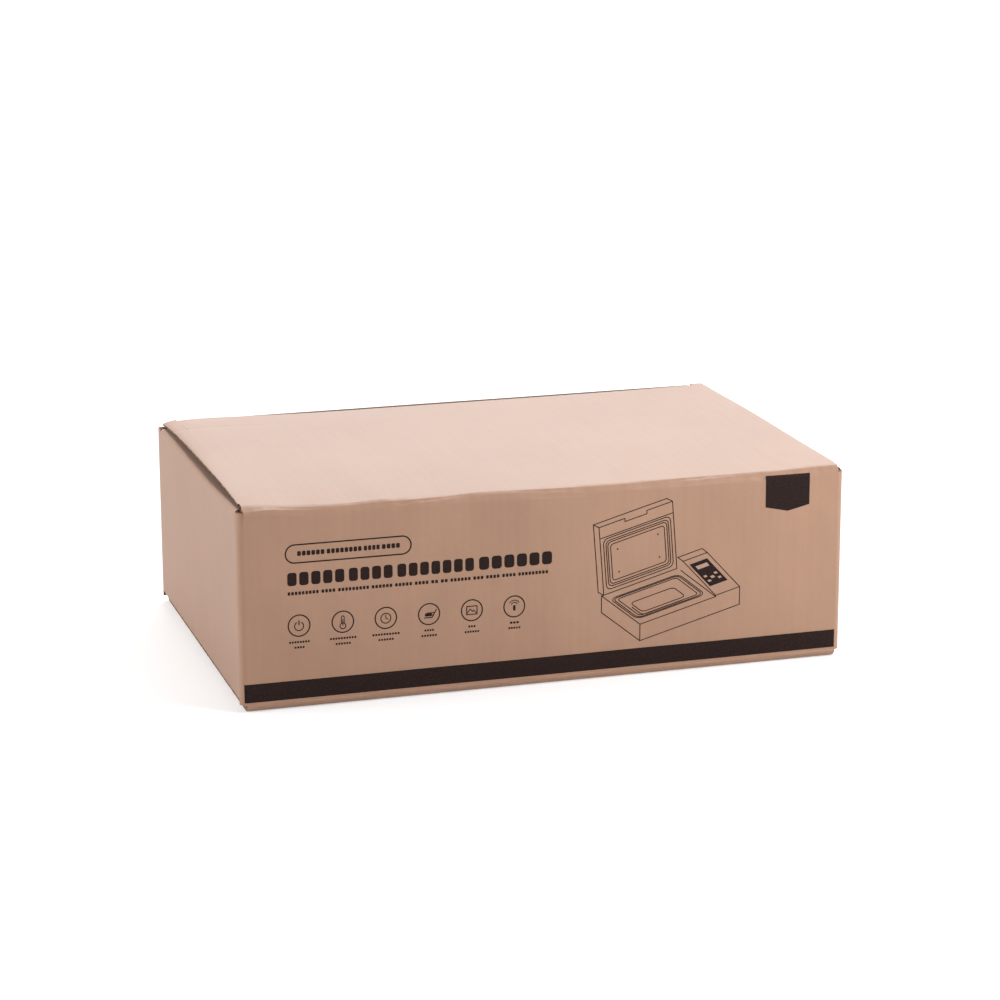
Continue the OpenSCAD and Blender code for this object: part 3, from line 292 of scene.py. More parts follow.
def sheet_of_board(name, outer, inner, looks):
    """Two grids of points, m by n, are the liners of a sheet, and four rims close it along their edges.
    looks are the materials of the outer liner, the inner liner, the rims along the first direction and the
    rims along the second. Rims are mapped by length and depth."""
    m, n = outer.shape[:2]
    k, far = np.arange(m * n).reshape(m, n), m * n
    grid = quads(k)
    faces = [grid, grid[:, ::-1] + far]
    marks = [np.zeros(len(grid)), np.ones(len(grid))]
    uv = [np.zeros((2 * len(grid), 4, 2))]
    for line, mark, turned in ((k[:, 0], 2, False), (k[:, -1], 2, True), (k[0], 3, True), (k[-1], 3, False)):
        step = np.linalg.norm(np.diff(outer.reshape(-1, 3)[line], axis=0), axis=1)
        run = np.concatenate([[0.0], np.cumsum(step)])
        a, b, ra, rb = line[1:], line[:-1], run[1:], run[:-1]
        if turned:
            a, b, ra, rb = b, a, rb, ra
        faces.append(np.stack([a, b, b + far, a + far], -1))
        marks.append(np.full(len(a), mark))
        zero, one = np.zeros_like(ra), np.ones_like(ra)
        uv.append(np.stack([np.stack(c, -1) for c in ((ra, zero), (rb, zero), (rb, one), (ra, one))], 1))
    faces, marks, uv = np.concatenate(faces), np.concatenate(marks), np.concatenate(uv)
    i, j = m // 2, n // 2
    normal = np.cross(outer[i, j] - outer[i - 1, j], outer[i, j] - outer[i, j - 1])
    if normal @ (outer[i, j] - inner[i, j]) < 0:
        faces, uv = faces[:, ::-1], uv[:, ::-1]
    points = np.concatenate([outer.reshape(-1, 3), inner.reshape(-1, 3)])
    return surface(name, points, faces, looks, marks, uv)


def hump(x, at, wide):
    """A bell of height 1: e to the power of minus the square of the distance from `at`, in units of wide."""
    return np.exp(-((x - at) / wide) ** 2)


def rise_front(x):
    """Height of the lid's front crease over its even line: higher at both ends, with two small humps."""
    mm = 1000 * x
    ends = 3.9 * hump(mm, -225, 45) + 1.6 * hump(mm, 225, 38)
    humps = 1.3 * hump(mm, -124, 15) + 0.9 * hump(mm, -48, 34)
    return 0.001 * (ends + humps + 0.25 * np.sin(mm / 9.0) * hump(mm, -150, 90) - 0.1)


def rise_back(x):
    """Height of the lid's back crease over its even line: a hump near the left end that drops off at the
    corner, and a rise at the right."""
    mm = 1000 * x
    left = 1.8 * hump(mm, -200, 60) - 4.6 * np.exp(-(mm + 225) / 8)
    return 0.001 * (1.0 + left + 1.2 * (mm.clip(0) / 225) ** 4)


def lid_height(x, y):
    """The lid's outer face: its two creases' heights shared out by depth, plus a bow that grows as the square
    of the way to the left end."""
    u = np.clip((y + half_w) / (tuck_y + half_w), 0, 1)
    left = (half_l - x) / (2 * half_l)
    bow = 0.0010 * np.sin(np.pi * u) + 0.0033 * left ** 2 * (1 - np.abs(2 * u - 1) ** 4)
    dent = -0.0003 * hump(y, 0.094, 0.0025) * np.clip((-0.13 - x) / 0.05, 0, 1)
    soft = 0.00035 * np.sin(x * 31 + 1.1) * np.sin(y * 27 + 0.4) * np.sin(np.pi * u)
    return high + rise_front(x) * (1 - u) ** 1.3 + rise_back(x) * u ** 1.4 + bow + dent + soft


def puff(across_at, z):
    """How far a wall stands out of its plane: a slow swell that ends at its corners and creases."""
    swell = 0.0006 * np.cos(np.clip(across_at, -1, 1) * np.pi / 2) * np.sin(np.pi * np.clip(z / high, 0, 1))
    return swell + 0.00025 * np.sin(across_at * 9 + 2) * np.sin(z * 60) * (1 - across_at ** 2).clip(0)


# Front and back walls: the long sides of the carton's tube, with its four upright corners folded to a radius
# of 5.4 mm. The front carries the print, and its top goes on into the lid's crease. The back wall ends in a
# cut edge, which the tuck flap slides down behind.
wall_foot = 0.0053  # where the walls end above the bottom flaps
lap = 0.006  # how far a long wall reaches round each corner


def wall_with_corners(name, facing, tops, stations, notch=np.pi / 4):
    """The wall whose plan runs round a corner arc, along X and round the next: points of the arcs are centre
    plus radius times (cos, sin)."""
    end_y = facing * (half_w - lap)
    a = np.concatenate([np.linspace(0, notch, 8), [notch + 0.001], np.linspace(notch, np.pi / 2, 4)[1:]])
    n_left = np.stack([-np.cos(a), facing * np.sin(a)], -1)
    left = np.array([-half_l + bend, facing * (half_w - bend)]) + bend * n_left
    middle = np.stack([stations, np.full_like(stations, facing * half_w)], -1)
    plan = np.concatenate([[[-half_l, end_y]], left, middle, (left * [-1, 1])[::-1], [[half_l, end_y]]])
    normal = np.concatenate([[[-1.0, 0.0]], n_left, np.tile([0.0, facing], (len(stations), 1)),
                             (n_left * [-1, 1])[::-1], [[1.0, 0.0]]])
    top = tops(plan[:, 0])
    z = wall_foot + (top[:, None] - wall_foot) * np.linspace(0, 1, 40)
    out = puff(plan[:, :1] / half_l, z) * np.abs(normal[:, 1:])
    outer = np.concatenate([plan[:, None] + normal[:, None] * out[..., None], z[..., None]], -1)
    inner = outer - board * np.concatenate([normal, np.zeros((len(normal), 1))], 1)[:, None]
    return sheet_of_board(name, outer, inner, wall_looks)


seam = 0.00001  # the run over which a wall's top steps up or down
edge = half_l - slot
front_top, left_ear, right_ear = 0.1320, 0.1440, 0.1402  # under the crease, and past it at both ends
front = wall_with_corners(
    "carton_front_wall", -1,
    lambda x: np.where(np.abs(x) >= edge, np.where(x < 0, left_ear, right_ear), front_top),
    np.linspace(-half_l + bend, half_l - bend, 150)[1:-1], np.arccos((edge - half_l + bend) / bend))
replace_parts(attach(front, "carton"), "front_wall")
back_edge, back_top, back_ear = half_l - 0.0135, 0.1432, 0.1392
back_end = np.linspace(back_edge + seam, half_l - lap, 4)
back_x = np.concatenate([-back_end[::-1], np.linspace(-back_edge, back_edge, 90), back_end])
back = wall_with_corners("carton_back_wall", 1, lambda x: np.where(np.abs(x) > back_edge, back_ear, back_top),
                         back_x)
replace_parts(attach(back, "carton"), "back_wall")


def folded(corner, first, out_of_first, before, after, turn, count=9, straight=7, radius=bend):
    """A sheet folded once: it comes along `first` to the corner, turns by `turn` degrees on an arc of that
    radius, and goes on. Points are corner + p first + q out_of_first for the profile (p, q). The inner liner
    lies one board deeper, on an arc of at least 0.3 mm."""
    end = np.radians(turn)
    a = np.linspace(0, end, count)
    first, out_of_first = np.array(first, float), np.array(out_of_first, float)
    before, after = (np.broadcast_to(v, len(corner))[:, None] for v in (before, after))

    def liner(r, depth):
        tangent = (r + depth) * np.tan(end / 2)
        p1 = -tangent - (before - tangent) * np.linspace(1, 0, straight)[:-1]
        d2 = tangent + (after - tangent) * np.linspace(0, 1, straight)[1:]
        arc = np.tile(a, (len(corner), 1))
        p = np.concatenate([p1, r * np.sin(arc) - tangent, np.cos(end) * d2 - depth * np.sin(end)], 1)
        q = np.concatenate([0 * p1 - depth, r * np.cos(arc) - r - depth,
                            -np.sin(end) * d2 - depth * np.cos(end)], 1)
        return corner[:, None] + p[..., None] * first + q[..., None] * out_of_first
    return liner(radius, 0.0), liner(max(radius - board, 0.0003), board)


# Side walls with the short bottom flaps that they fold into, and the long bottom flaps that close over these
# from front and back. The flaps are held by beads of hot melt glue, and the front one's crease is the rounded
# strip under the printed band.
side_end = 0.132
side_y = np.concatenate([np.linspace(-half_w + lap, side_end, 90), [side_end + seam],
                         np.linspace(0.135, half_w - lap, 4)])
side_top, side_ear, side_join = 0.1384, 0.1406, 0.1290  # the crease, the bit behind it, and the crease's foot


def side_wall(name, sign):
    """A side wall from its top down, round its bottom crease and 110 mm inwards: folded() with its corner at
    the wall's foot."""
    top = np.where(side_y > side_end, side_ear, side_join)
    corner = np.stack([np.full_like(side_y, sign * half_l), side_y, np.full_like(side_y, wall_foot)], -1)
    outer, inner = folded(corner, (0, 0, -1), (sign, 0, 0), top - wall_foot, 0.110, 90, straight=24)
    swell = puff(outer[..., 1] / half_w, outer[..., 2]) * (outer[..., 2] > 0.012)
    outer[..., 0] += sign * swell
    inner[..., 0] += sign * swell
    return sheet_of_board(name, outer, inner, side_looks)


for name, sign, nodes in (
    ("carton_left_wall", -1, ("left_wall", "bottom_flap_left")),
    ("carton_right_wall", 1, ("right_wall", "bottom_flap_right")),
):
    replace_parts(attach(side_wall(name, sign), "carton"), *nodes)

for name, sign, node in (
    ("bottom_flap_front_sheet", -1, "bottom_flap_front"), ("bottom_flap_back_sheet", 1, "bottom_flap_back"),
):
    x = np.linspace(-edge, edge, 120)
    wavy = 0.00025 * np.sin(x * 70) + 0.0002 * np.sin(x * 173 + 1)
    corner = np.stack([x, np.full_like(x, sign * half_w), np.zeros_like(x)], -1)
    outer, inner = folded(corner, (0, 0, -1), (0, sign, 0), 0.0058, half_w - 0.001, 90, count=11, straight=8)
    outer[:, :10, 1] += sign * (wavy[:, None] + 0.0003) * np.linspace(0.4, 1, 10)
    flap = sheet_of_board(name, outer, inner, wall_looks)
    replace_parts(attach(flap, "carton"), node)

wax, place, fill = finish("hot_melt_glue", 0.35, Specular_IOR_Level=0.5)
fill(Base_Color=place.spots(0.003).mixed(tint(214, 196, 150), tint(240, 228, 196)),
     bump=place.spots(0.002), depth=0.0003)
tab_look = kraft("kraft_liner_tab", tint(176, 138, 110), 1)


def dress(look, *nodes):
    """Gives CAD nodes a material."""
    for node in nodes:
        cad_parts[node].data.materials.clear()
        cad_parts[node].data.materials.append(look)


dress(wax, "bottom_glue")
dress(tab_look, "glue_tab")

# Lid: one panel hinged on the front wall's top crease. It bows up along its free left end, where a dark gap
# opens over the side wall, and its cut ends are crushed to about half their thickness.
# Its z is lid_height over a grid in x and y, and the last 8 mm before each cut end droop by 0.3 mm.
span, tuck_half = 0.0115, 0.2115  # how far both creases reach into the lid, and half the far one's length
crushed, crushed_from = 0.0034, 0.008
ends = np.array([0.0, 0.0006, 0.0015, 0.0030, 0.0045, 0.0062, 0.0080, 0.0099])
x = np.concatenate([ends - lid_half, np.linspace(-tuck_half, tuck_half, 140), (lid_half - ends)[::-1]])
stop = np.where(np.abs(x) > tuck_half + 0.00005, tuck_y - 0.0008, tuck_y - span)
y = (-half_w + span) + (stop[:, None] + half_w - span) * np.linspace(0, 1, 90)
xx = np.broadcast_to(x[:, None], y.shape)
near = np.clip((lid_half - np.abs(xx)) / crushed_from, 0, 1)
z = lid_height(xx, y)
outer = np.stack([xx, y, z - 0.0003 * (1 - near) ** 3], -1)
inner = np.stack([xx, y, z - board + crushed * (1 - near) ** 1.3], -1)
lid = sheet_of_board("carton_lid_panel", outer, inner, wall_looks)
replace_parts(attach(lid, "carton_lid"), "lid_panel")

# Front crease: the scored strip that the lid turns on, from the front wall's top round into the lid. The score
# crushes the flutes, so the liner wrinkles along the fold, and the fold is pinched down near its left end.
fine = np.linspace(edge - 0.004, edge, 5)
x = np.concatenate([-fine[:0:-1], np.linspace(-fine[0], fine[0], 260), fine[1:]])
ridge = high + rise_front(x)
corner = np.stack([x, np.full_like(x, -half_w), ridge], -1)
outer, inner = folded(corner, (0, 0, 1), (0, -1, 0), ridge - front_top, span, 90, count=11, straight=9)
from_fold = np.arange(outer.shape[1]) - 13.0  # in grid steps
wrinkle = (0.00022 * np.sin(x * 330 + 2 * np.sin(x * 47)) + 0.00018 * np.sin(x * 610 + 3 * np.sin(x * 90))
           + 0.00034 * np.sin(x * 120 + 1.5 * np.sin(x * 31)))
wrinkle = wrinkle * (0.7 + 0.6 * np.sin(x * 23 + 0.6) ** 2)
outer[..., 1:] += (wrinkle[:, None] * hump(from_fold, 0, 3.6))[..., None] * np.array([-0.5, 0.8])
wide = hump(from_fold, 0, 5.0)
worn = 0.0003 - 0.0008 * hump(x, -0.225, 0.060)
ripple = 0.00022 * np.sin(from_fold * 1.25 + 1.6 * np.sin(x * 37)[:, None])
ripple = ripple * (1 + 0.7 * np.sin(x * 61 + 1)[:, None])
outer[..., 1:] += ((worn[:, None] + ripple) * wide)[..., None] * np.array([0.7, -0.7])
pinch = hump(x, -0.2205, 0.022)[:, None] * wide
outer[..., 1] -= 0.0020 * pinch
outer[..., 2] -= 0.0012 * pinch
swell = puff(outer[..., 0] / half_l, outer[..., 2]) * (outer[..., 1] < -half_w + 0.0002)
outer[:, :8, 1] -= swell[:, :8]
flat = outer[..., 1] > -half_w + bend
lifted = outer[..., 2] - ridge[:, None]
outer[..., 2] = np.where(flat, lid_height(outer[..., 0], outer[..., 1]) + lifted, outer[..., 2])
inner[..., 2] = np.where(flat, lid_height(inner[..., 0], inner[..., 1]) - board, inner[..., 2])
crease = sheet_of_board("carton_front_crease", outer, inner, wall_looks)
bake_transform(crease)

# Tuck flap: the lid's free edge of the same board, 40 mm deep with round corners. It is folded 98 degrees down
# and slides in behind the back wall, where only friction holds it.
tuck_deep, tuck_round, tuck_start = 0.040, 0.012, 0.0110  # depth, corners, and where the crease's strip ends
x = np.linspace(-tuck_half, tuck_half, 130)
ridge = high + rise_back(x)
lean = np.radians(98)
down, facing_out = np.array([0, np.cos(lean), -np.sin(lean)]), np.array([0, np.sin(lean), np.cos(lean)])
corner = np.stack([x, np.full_like(x, tuck_y), ridge], -1)
outer, inner = folded(corner, (0, 1, 0), (0, 0, 1), span, tuck_start, 98, count=11, straight=6)
flat = outer[..., 1] < tuck_y - bend * 1.2
outer[..., 2] = np.where(flat, lid_height(outer[..., 0], outer[..., 1]), outer[..., 2])
inner[..., 2] = np.where(flat, lid_height(inner[..., 0], inner[..., 1]) - board, inner[..., 2])
crease = sheet_of_board("carton_tuck_crease", outer, inner, wall_looks)
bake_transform(crease)

round_from = tuck_deep - tuck_round
v = np.concatenate([np.linspace(tuck_start, round_from, 8),
                    round_from + tuck_round * np.sin(np.linspace(0, np.pi / 2, 9))[1:]])
half = np.sqrt(np.clip(tuck_round ** 2 - np.clip(v - round_from, 0, None) ** 2, 1e-9, None))
half = tuck_half - tuck_round + half
xx = np.linspace(-1, 1, 90)[:, None] * half
base = np.stack([xx, np.full_like(xx, tuck_y), high + rise_back(xx) * (1 - v / tuck_deep)], -1)
outer = base + v[None, :, None] * down
tuck = sheet_of_board("carton_tuck_flap", outer, outer - board * facing_out, wall_looks)
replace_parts(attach(tuck, "tuck_flap"), "tuck_flap")

# Dust flaps: folded in over the foam from the tops of the side walls, tapered on the side where the lid closes
# over them last. The left one springs up a little against the lid and holds it open by a narrow gap.
dust_l, dust_back, dust_front = 0.0675, 0.1320, -0.13975
dust_start, dust_fold, taper = 0.012, 0.0026, np.tan(np.radians(28))


def lift_left(y):
    """How far the left flap's crease springs up: 3.2 mm, more towards the front and less towards the back."""
    front_share, back_share = np.clip((-y - 0.040) / 0.110, 0, None), np.clip((y - 0.09) / 0.04, 0, None)
    return 0.0032 + 0.0040 * front_share ** 1.2 - 0.0006 * back_share


for name, sign, body in (("left", -1, "dust_flap_left"), ("right", 1, "dust_flap_right")):
    share = np.linspace(0, 1, 90)
    y0 = dust_front + (dust_back - dust_front) * share
    lift = lift_left(y0) * (1.0 if sign < 0 else 0.55)
    ridge = side_top + lift
    corner = np.stack([np.full_like(y0, sign * half_l), y0, ridge], -1)
    outer, inner = folded(corner, (0, 0, 1), (sign, 0, 0), ridge - side_join, dust_start, 90,
                          straight=9, radius=dust_fold)
    inwards = half_l - np.abs(outer[..., 0])
    under = np.clip((inwards - dust_fold) / (dust_start - dust_fold), 0, 1) ** 1.2
    outer[..., 2] -= 0.75 * lift[:, None] * under
    inner[..., 2] -= 0.75 * lift[:, None] * under
    slide = np.clip(inwards, 0, None) * taper * (1 - share[:, None])
    outer[..., 1] += slide
    inner[..., 1] += slide
    swell = puff(outer[..., 1] / half_w, outer[..., 2]) * (np.abs(outer[..., 0]) > half_l - 0.0002)
    outer[:, :8, 0] += sign * swell[:, :8]
    crease = sheet_of_board("carton_side_crease_" + name, outer, inner, side_looks)
    sign * half_l
    sign * (half_l - 0.005)
    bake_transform(crease)
    reach = np.linspace(dust_start, dust_l, 26)
    fy = dust_front + reach * taper
    by = dust_back - np.clip(reach - (dust_l - 0.012), 0, None)
    yy = fy + (by - fy) * share[:, None]
    settle = 0.25 * lift[:, None] * np.clip(1 - (reach - dust_start) / 0.030, 0, 1) ** 1.5
    outer = np.stack([np.broadcast_to(sign * (half_l - reach), yy.shape), yy, side_top + settle], -1)
    flap = sheet_of_board("carton_dust_flap_" + name, outer, outer - [0, 0, board], side_looks)
    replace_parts(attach(flap, body), body)

# Print on the front wall: flat dark ink, 0.08 mm proud of the board. It is a band along the foot, a pill
# outline, rows of plain blocks where a line of words would run, six ringed pictograms with two rows of small
# blocks under each, a bare pennant at the top crease and a line drawing.
ink, place, fill = finish("dark_ink", 0.7, Specular_IOR_Level=0.2)
fill(Base_Color=place.spots(0.0009, 3.0).over(0.35, 0.7).mixed(tint(28, 15, 13), tint(46, 26, 20)),
     bump=place.spots(0.0012), depth=0.00005)
bare, place, fill = finish("bare_board_in_print", 0.55, Specular_IOR_Level=0.4)
fill(Base_Color=place.spots(0.004).mixed(tint(176, 140, 118), tint(196, 160, 138)))


def on_front(x, z, proud=0.00008):
    """Points on the front wall: its plane, less the swell, bent back round the corners and the top crease."""
    past = np.clip(np.abs(x) - (half_l - bend), 0, bend * 0.999)
    over = np.clip(z - (high + rise_front(x) - bend), 0, bend * 0.9)
    round_corner, round_crease = (bend - np.sqrt(bend ** 2 - part ** 2) for part in (past, over))
    y = -half_w + round_corner + round_crease - puff(x / half_l, z) - proud
    return np.stack([x, y, z], -1)


class Print:
    """Flat shapes on a surface, in millimetres of its own two directions, gathered for one mesh.
    place puts them there, in metres."""

    def __init__(self, place):
        self.place, self.points, self.faces, self.marks = place, [], [], []

    def add(self, points, faces, proud=0.00008, mark=0):
        p = np.asarray(points, float) / 1000
        start = len(self.points)
        self.points.extend(self.place(p[:, 0], p[:, 1], proud))
        self.faces.extend([[start + k for k in f] for f in faces])
        self.marks.extend([mark] * len(faces))

    def block(self, x0, x1, z0, z1, r, **more):
        a = np.linspace(0, np.pi / 2, 5)
        quarter = np.stack([np.cos(a), np.sin(a)], -1) * r
        turns = [(1, 1, x1 - r, z1 - r), (-1, 1, x0 + r, z1 - r),
                 (-1, -1, x0 + r, z0 + r), (1, -1, x1 - r, z0 + r)]
        p = np.concatenate([(quarter * [sx, sz])[::sx * sz] + [cx, cz] for sx, sz, cx, cz in turns])
        self.add(p, [range(len(p))], **more)

    def line(self, points, width, closed=False, **more):
        """A stroke: the line cut into steps of at most 8 mm, with each point set out half a width to either
        side along its mitre."""
        p = np.asarray(points, float)
        if closed:
            p = np.concatenate([p, p[:1]])
        cut = [p[:1]]
        for a, b in zip(p[:-1], p[1:]):
            n = max(1, int(np.ceil(np.linalg.norm(b - a) / 8.0)))
            cut.append(a + (b - a) * np.arange(1, n + 1)[:, None] / n)
        p = np.concatenate(cut)
        d = np.diff(p, axis=0)
        d = d / np.maximum(np.linalg.norm(d, axis=1), 1e-9)[:, None]
        d0 = np.concatenate([d[-1:] if closed else d[:1], d])
        d1 = np.concatenate([d, d[:1] if closed else d[-1:]])
        side = np.stack([-(d0 + d1)[:, 1], (d0 + d1)[:, 0]], -1)
        side = side / np.maximum((side ** 2).sum(1), 0.5)[:, None] * width
        n = len(p)
        faces = [[k, k + 1, k + 1 + n, k + n] for k in range(n - 1)]
        self.add(np.concatenate([p - side, p + side]), faces, **more)

    def ring(self, x, z, r, width, start=0.0, end=360.0, **more):
        a = np.radians(np.linspace(start, end, 41))[: 40 if end - start == 360 else 41]
        self.line(np.stack([x + r * np.cos(a), z + r * np.sin(a)], -1), width, end - start == 360, **more)

    def row(self, x0, x1, z0, z1, count, gap):
        """Plain blocks of one width side by side."""
        width = (x1 - x0 + gap) / count
        r = 0.3 * min(width - gap, z1 - z0)
        for k in range(count):
            self.block(x0 + k * width, x0 + (k + 1) * width - gap, z0, z1, r)

    def done(self, name, looks):
        return surface(name, self.points, self.faces, looks, self.marks)


printed = Print(on_front)
u = np.concatenate([np.linspace(-222.4, -219.6, 12)[:-1], np.linspace(-219.6, 219.6, 90), [219.9, 220.2]])
band_rows = [7.4, 11.9, 16.3, 20.8]
printed.add([[x, z] for z in band_rows for x in u], quads(np.arange(4 * len(u)).reshape(4, -1).T))
a = np.radians(np.linspace(-90, 90, 17))
cap = np.stack([np.cos(a), np.sin(a)], -1) * 6.5
printed.line(np.concatenate([cap + [-108.0, 112.5], -cap + [-184.9, 112.5]]), 1.0, True)
for z0, z1, gap, words in (
    (110.9, 114.3, 0.75, ((-183, -163.7, 6), (-162, -137.2, 8), (-135.5, -124.2, 4), (-122.5, -109.6, 4))),
    (89.6, 99.1, 1.9, ((-190.4, -149.8, 5), (-146.5, -115.1, 4), (-111.6, -55.9, 7), (-52.1, 1.9, 6))),
):
    for x0, x1, count in words:
        printed.row(x0, x1, z0, z1, count, gap)
x0, letter = -190.3, 2.44
for count in (9, 4, 9, 6, 5, 4, 2, 2, 6, 3, 4, 4, 9):
    printed.row(x0, x0 + count * letter, 82.9, 85.3, count, 0.75)
    x0 += (count + 1) * letter - 0.3
for x, bars in zip((-182.7, -151.4, -120.4, -89.0, -57.6, -26.2),
                   ((14.6, 7.1), (19.0, 10.9), (19.7, 11.1), (6.9, 11.3), (5.2, 10.6), (6.6, 8.8))):
    printed.ring(x, 60.6, 7.7, 0.9)
    for z, wide in zip((48.7, 44.8), bars):
        printed.row(x - wide / 2, x + wide / 2, z - 0.75, z + 0.75, max(2, round(wide / 1.9)), 0.55)
# In the rings: a ring with a bar, a thermometer, a clock, a pile of sheets, a landscape and a beam.
for arc in ((-182.7, 60.2, 3.2, 0.7, -240, 60), (-151.4, 57.6, 2.1, 0.7), (-120.4, 60.4, 3.6, 0.7),
            (-26.2, 61.2, 2.4, 0.6, 20, 160), (-26.2, 61.2, 4.0, 0.6, 30, 150)):
    printed.ring(*arc)
for stroke in (([[-182.7, 61.0], [-182.7, 64.4]], 0.8), ([[-151.4, 57.6], [-151.4, 62.4]], 0.6),
               ([[-152.4, 59.4], [-152.4, 64.2], [-151.4, 65.0], [-150.4, 64.2], [-150.4, 59.4]], 0.6),
               ([[-120.4, 63.0], [-120.4, 60.4], [-118.6, 59.4]], 0.6),
               ([[-61.4, 57.6], [-53.8, 57.6], [-53.8, 63.6], [-61.4, 63.6]], 0.7, True),
               ([[-61.0, 58.6], [-58.8, 61.6], [-57.2, 59.6], [-56.2, 60.8], [-54.4, 58.4]], 0.6)):
    printed.line(*stroke)
for k in range(3):
    printed.line(np.array([[-92.6, 58.0], [-86.8, 58.0], [-85.4, 60.4]]) + k * np.array([0.9, 1.7]), 0.7)
printed.block(-92.0, -87.0, 59.0, 61.2, 0.4)
printed.block(-27.1, -25.3, 57.4, 61.6, 0.85)

# The drawing: the press with its lid up, seen from its left front, as each point's part along the picture's
# right and up directions. It is in millimetres of the real press, drawn at about a quarter of its size.
turn_by, tilt_by, scale = np.radians(-30), np.radians(28), 0.252
towards = np.array([np.sin(turn_by) * np.cos(tilt_by), -np.cos(turn_by) * np.cos(tilt_by), np.sin(tilt_by)])
right = np.array([np.cos(turn_by), np.sin(turn_by), 0.0])
over = np.cross(towards, right)


def drawn(points):
    p = np.asarray(points, float)
    return np.stack([p @ right, p @ over], -1) * scale + [92.0, 48.5]


def draw(points, closed=False):
    printed.line(drawn(points), 0.65, closed)


def rounded(l, w, r):
    """A rectangle l by w round the middle, whose corners are quarter circles of radius r."""
    a = np.linspace(0, np.pi / 2, 5)
    q = np.stack([np.cos(a), np.sin(a)], -1) * r + [l / 2 - r, w / 2 - r]
    return np.concatenate([q, (q * [-1, 1])[::-1], -q, (q * [1, -1])[::-1]])


case_x, case_y, block_x = 175, 117, 90  # half the case's length and width, and where the control block starts
rim_z, block_z, slope_z, slope_y = 56, 60, 92, 85  # tops of the case, and of the block's front and back
draw([[-case_x, -case_y, 0], [case_x, -case_y, 0], [case_x, -case_y, block_z], [block_x, -case_y, block_z],
      [block_x, -case_y, rim_z], [-case_x, -case_y, rim_z]], True)
for path in ([[-case_x, -case_y, 0], [-case_x, case_y, 0], [-case_x, case_y, rim_z], [-case_x, -case_y, rim_z]],
             [[block_x, -case_y, block_z], [block_x, slope_y, slope_z], [block_x, case_y, slope_z],
              [case_x, case_y, slope_z], [case_x, slope_y, slope_z], [case_x, -case_y, block_z]],
             [[block_x, slope_y, slope_z], [case_x, slope_y, slope_z]],
             [[block_x, -case_y, rim_z], [block_x, 100, rim_z]],
             [[-case_x, case_y, rim_z], [-173, 108, block_z]]):
    draw(path)
chamber_x = -46
for l, w, r in ((238, 166, 22), (226, 154, 18), (206, 136, 12)):
    q = rounded(l, w, r)
    q = np.stack([q[:, 0] + chamber_x, q[:, 1], np.full(len(q), float(rim_z))], -1)
    draw(q, True)
for z, whole in ((46.0, True), (36.0, False)):
    q = rounded(150, 74, 14)
    q = np.stack([q[:, 0] + chamber_x, q[:, 1], np.full(len(q), z)], -1)
    draw(q if whole else q[8:17], whole)


def on_lid(q, out=0.0):
    """Points of the raised lid: along its hinge, up its leaning face, and outwards from that."""
    lean_by = np.radians(8)
    q = np.asarray(q, float)
    up_lid = np.array([0, np.sin(lean_by), np.cos(lean_by)])
    off = np.array([0, np.cos(lean_by), -np.sin(lean_by)])
    return np.array([chamber_x, 107, 62]) + q[:, :1] * [1, 0, 0] + q[:, 1:] * up_lid + out * off


lid_x, lid_z, lid_deep = 127, 214, 34  # half its length, its height when raised, and its thickness
draw(on_lid([[-lid_x, 0], [lid_x, 0], [lid_x, lid_z], [38, lid_z], [38, 204], [-38, 204], [-38, lid_z],
             [-lid_x, lid_z]]), True)
draw(np.concatenate([on_lid([[-lid_x, 0]]), on_lid([[-lid_x, 0], [-lid_x, lid_z], [lid_x, lid_z]], lid_deep),
                     on_lid([[lid_x, lid_z]])]))
draw(np.concatenate([on_lid([[-lid_x, lid_z]]), on_lid([[-lid_x, lid_z]], lid_deep)]))
draw(on_lid([[-lid_x, 178], [lid_x, 178]]))
for l, w, r in ((232, 160, 16), (216, 144, 14), (204, 132, 12), (186, 114, 9)):
    draw(on_lid(rounded(l, w, r) + [0, 92]), True)
for x, y in ((-70, 56), (70, 56), (-70, 128), (70, 128)):
    p = drawn(on_lid([[x, y]]))[0]
    printed.block(p[0] - 0.6, p[0] + 0.6, p[1] - 0.6, p[1] + 0.6, 0.5)


def on_slope(x0, y0, x1, y1):
    """A rectangle on the sloping panel of the drawn press, from one corner to the other."""
    slope = (slope_z - block_z) / (slope_y + case_y)
    corners = (x0, y0), (x1, y0), (x1, y1), (x0, y1)
    return drawn([[x, y, block_z + (y + case_y) * slope] for x, y in corners])


printed.add(on_slope(98, -68, 160, 60), [[0, 1, 2, 3]], proud=0.00012)
for x, y, w, h in ((129, 34, 20, 9), (111, -16, 5, 5), (147, -16, 5, 5), (111, -42, 5, 5), (147, -42, 5, 5),
                   (129, -29, 6, 6)):
    printed.add(on_slope(x - w, y - h, x + w, y + h), [[0, 1, 2, 3]], proud=0.00018, mark=1)
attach(printed.done("carton_print", [ink, bare]), "carton")

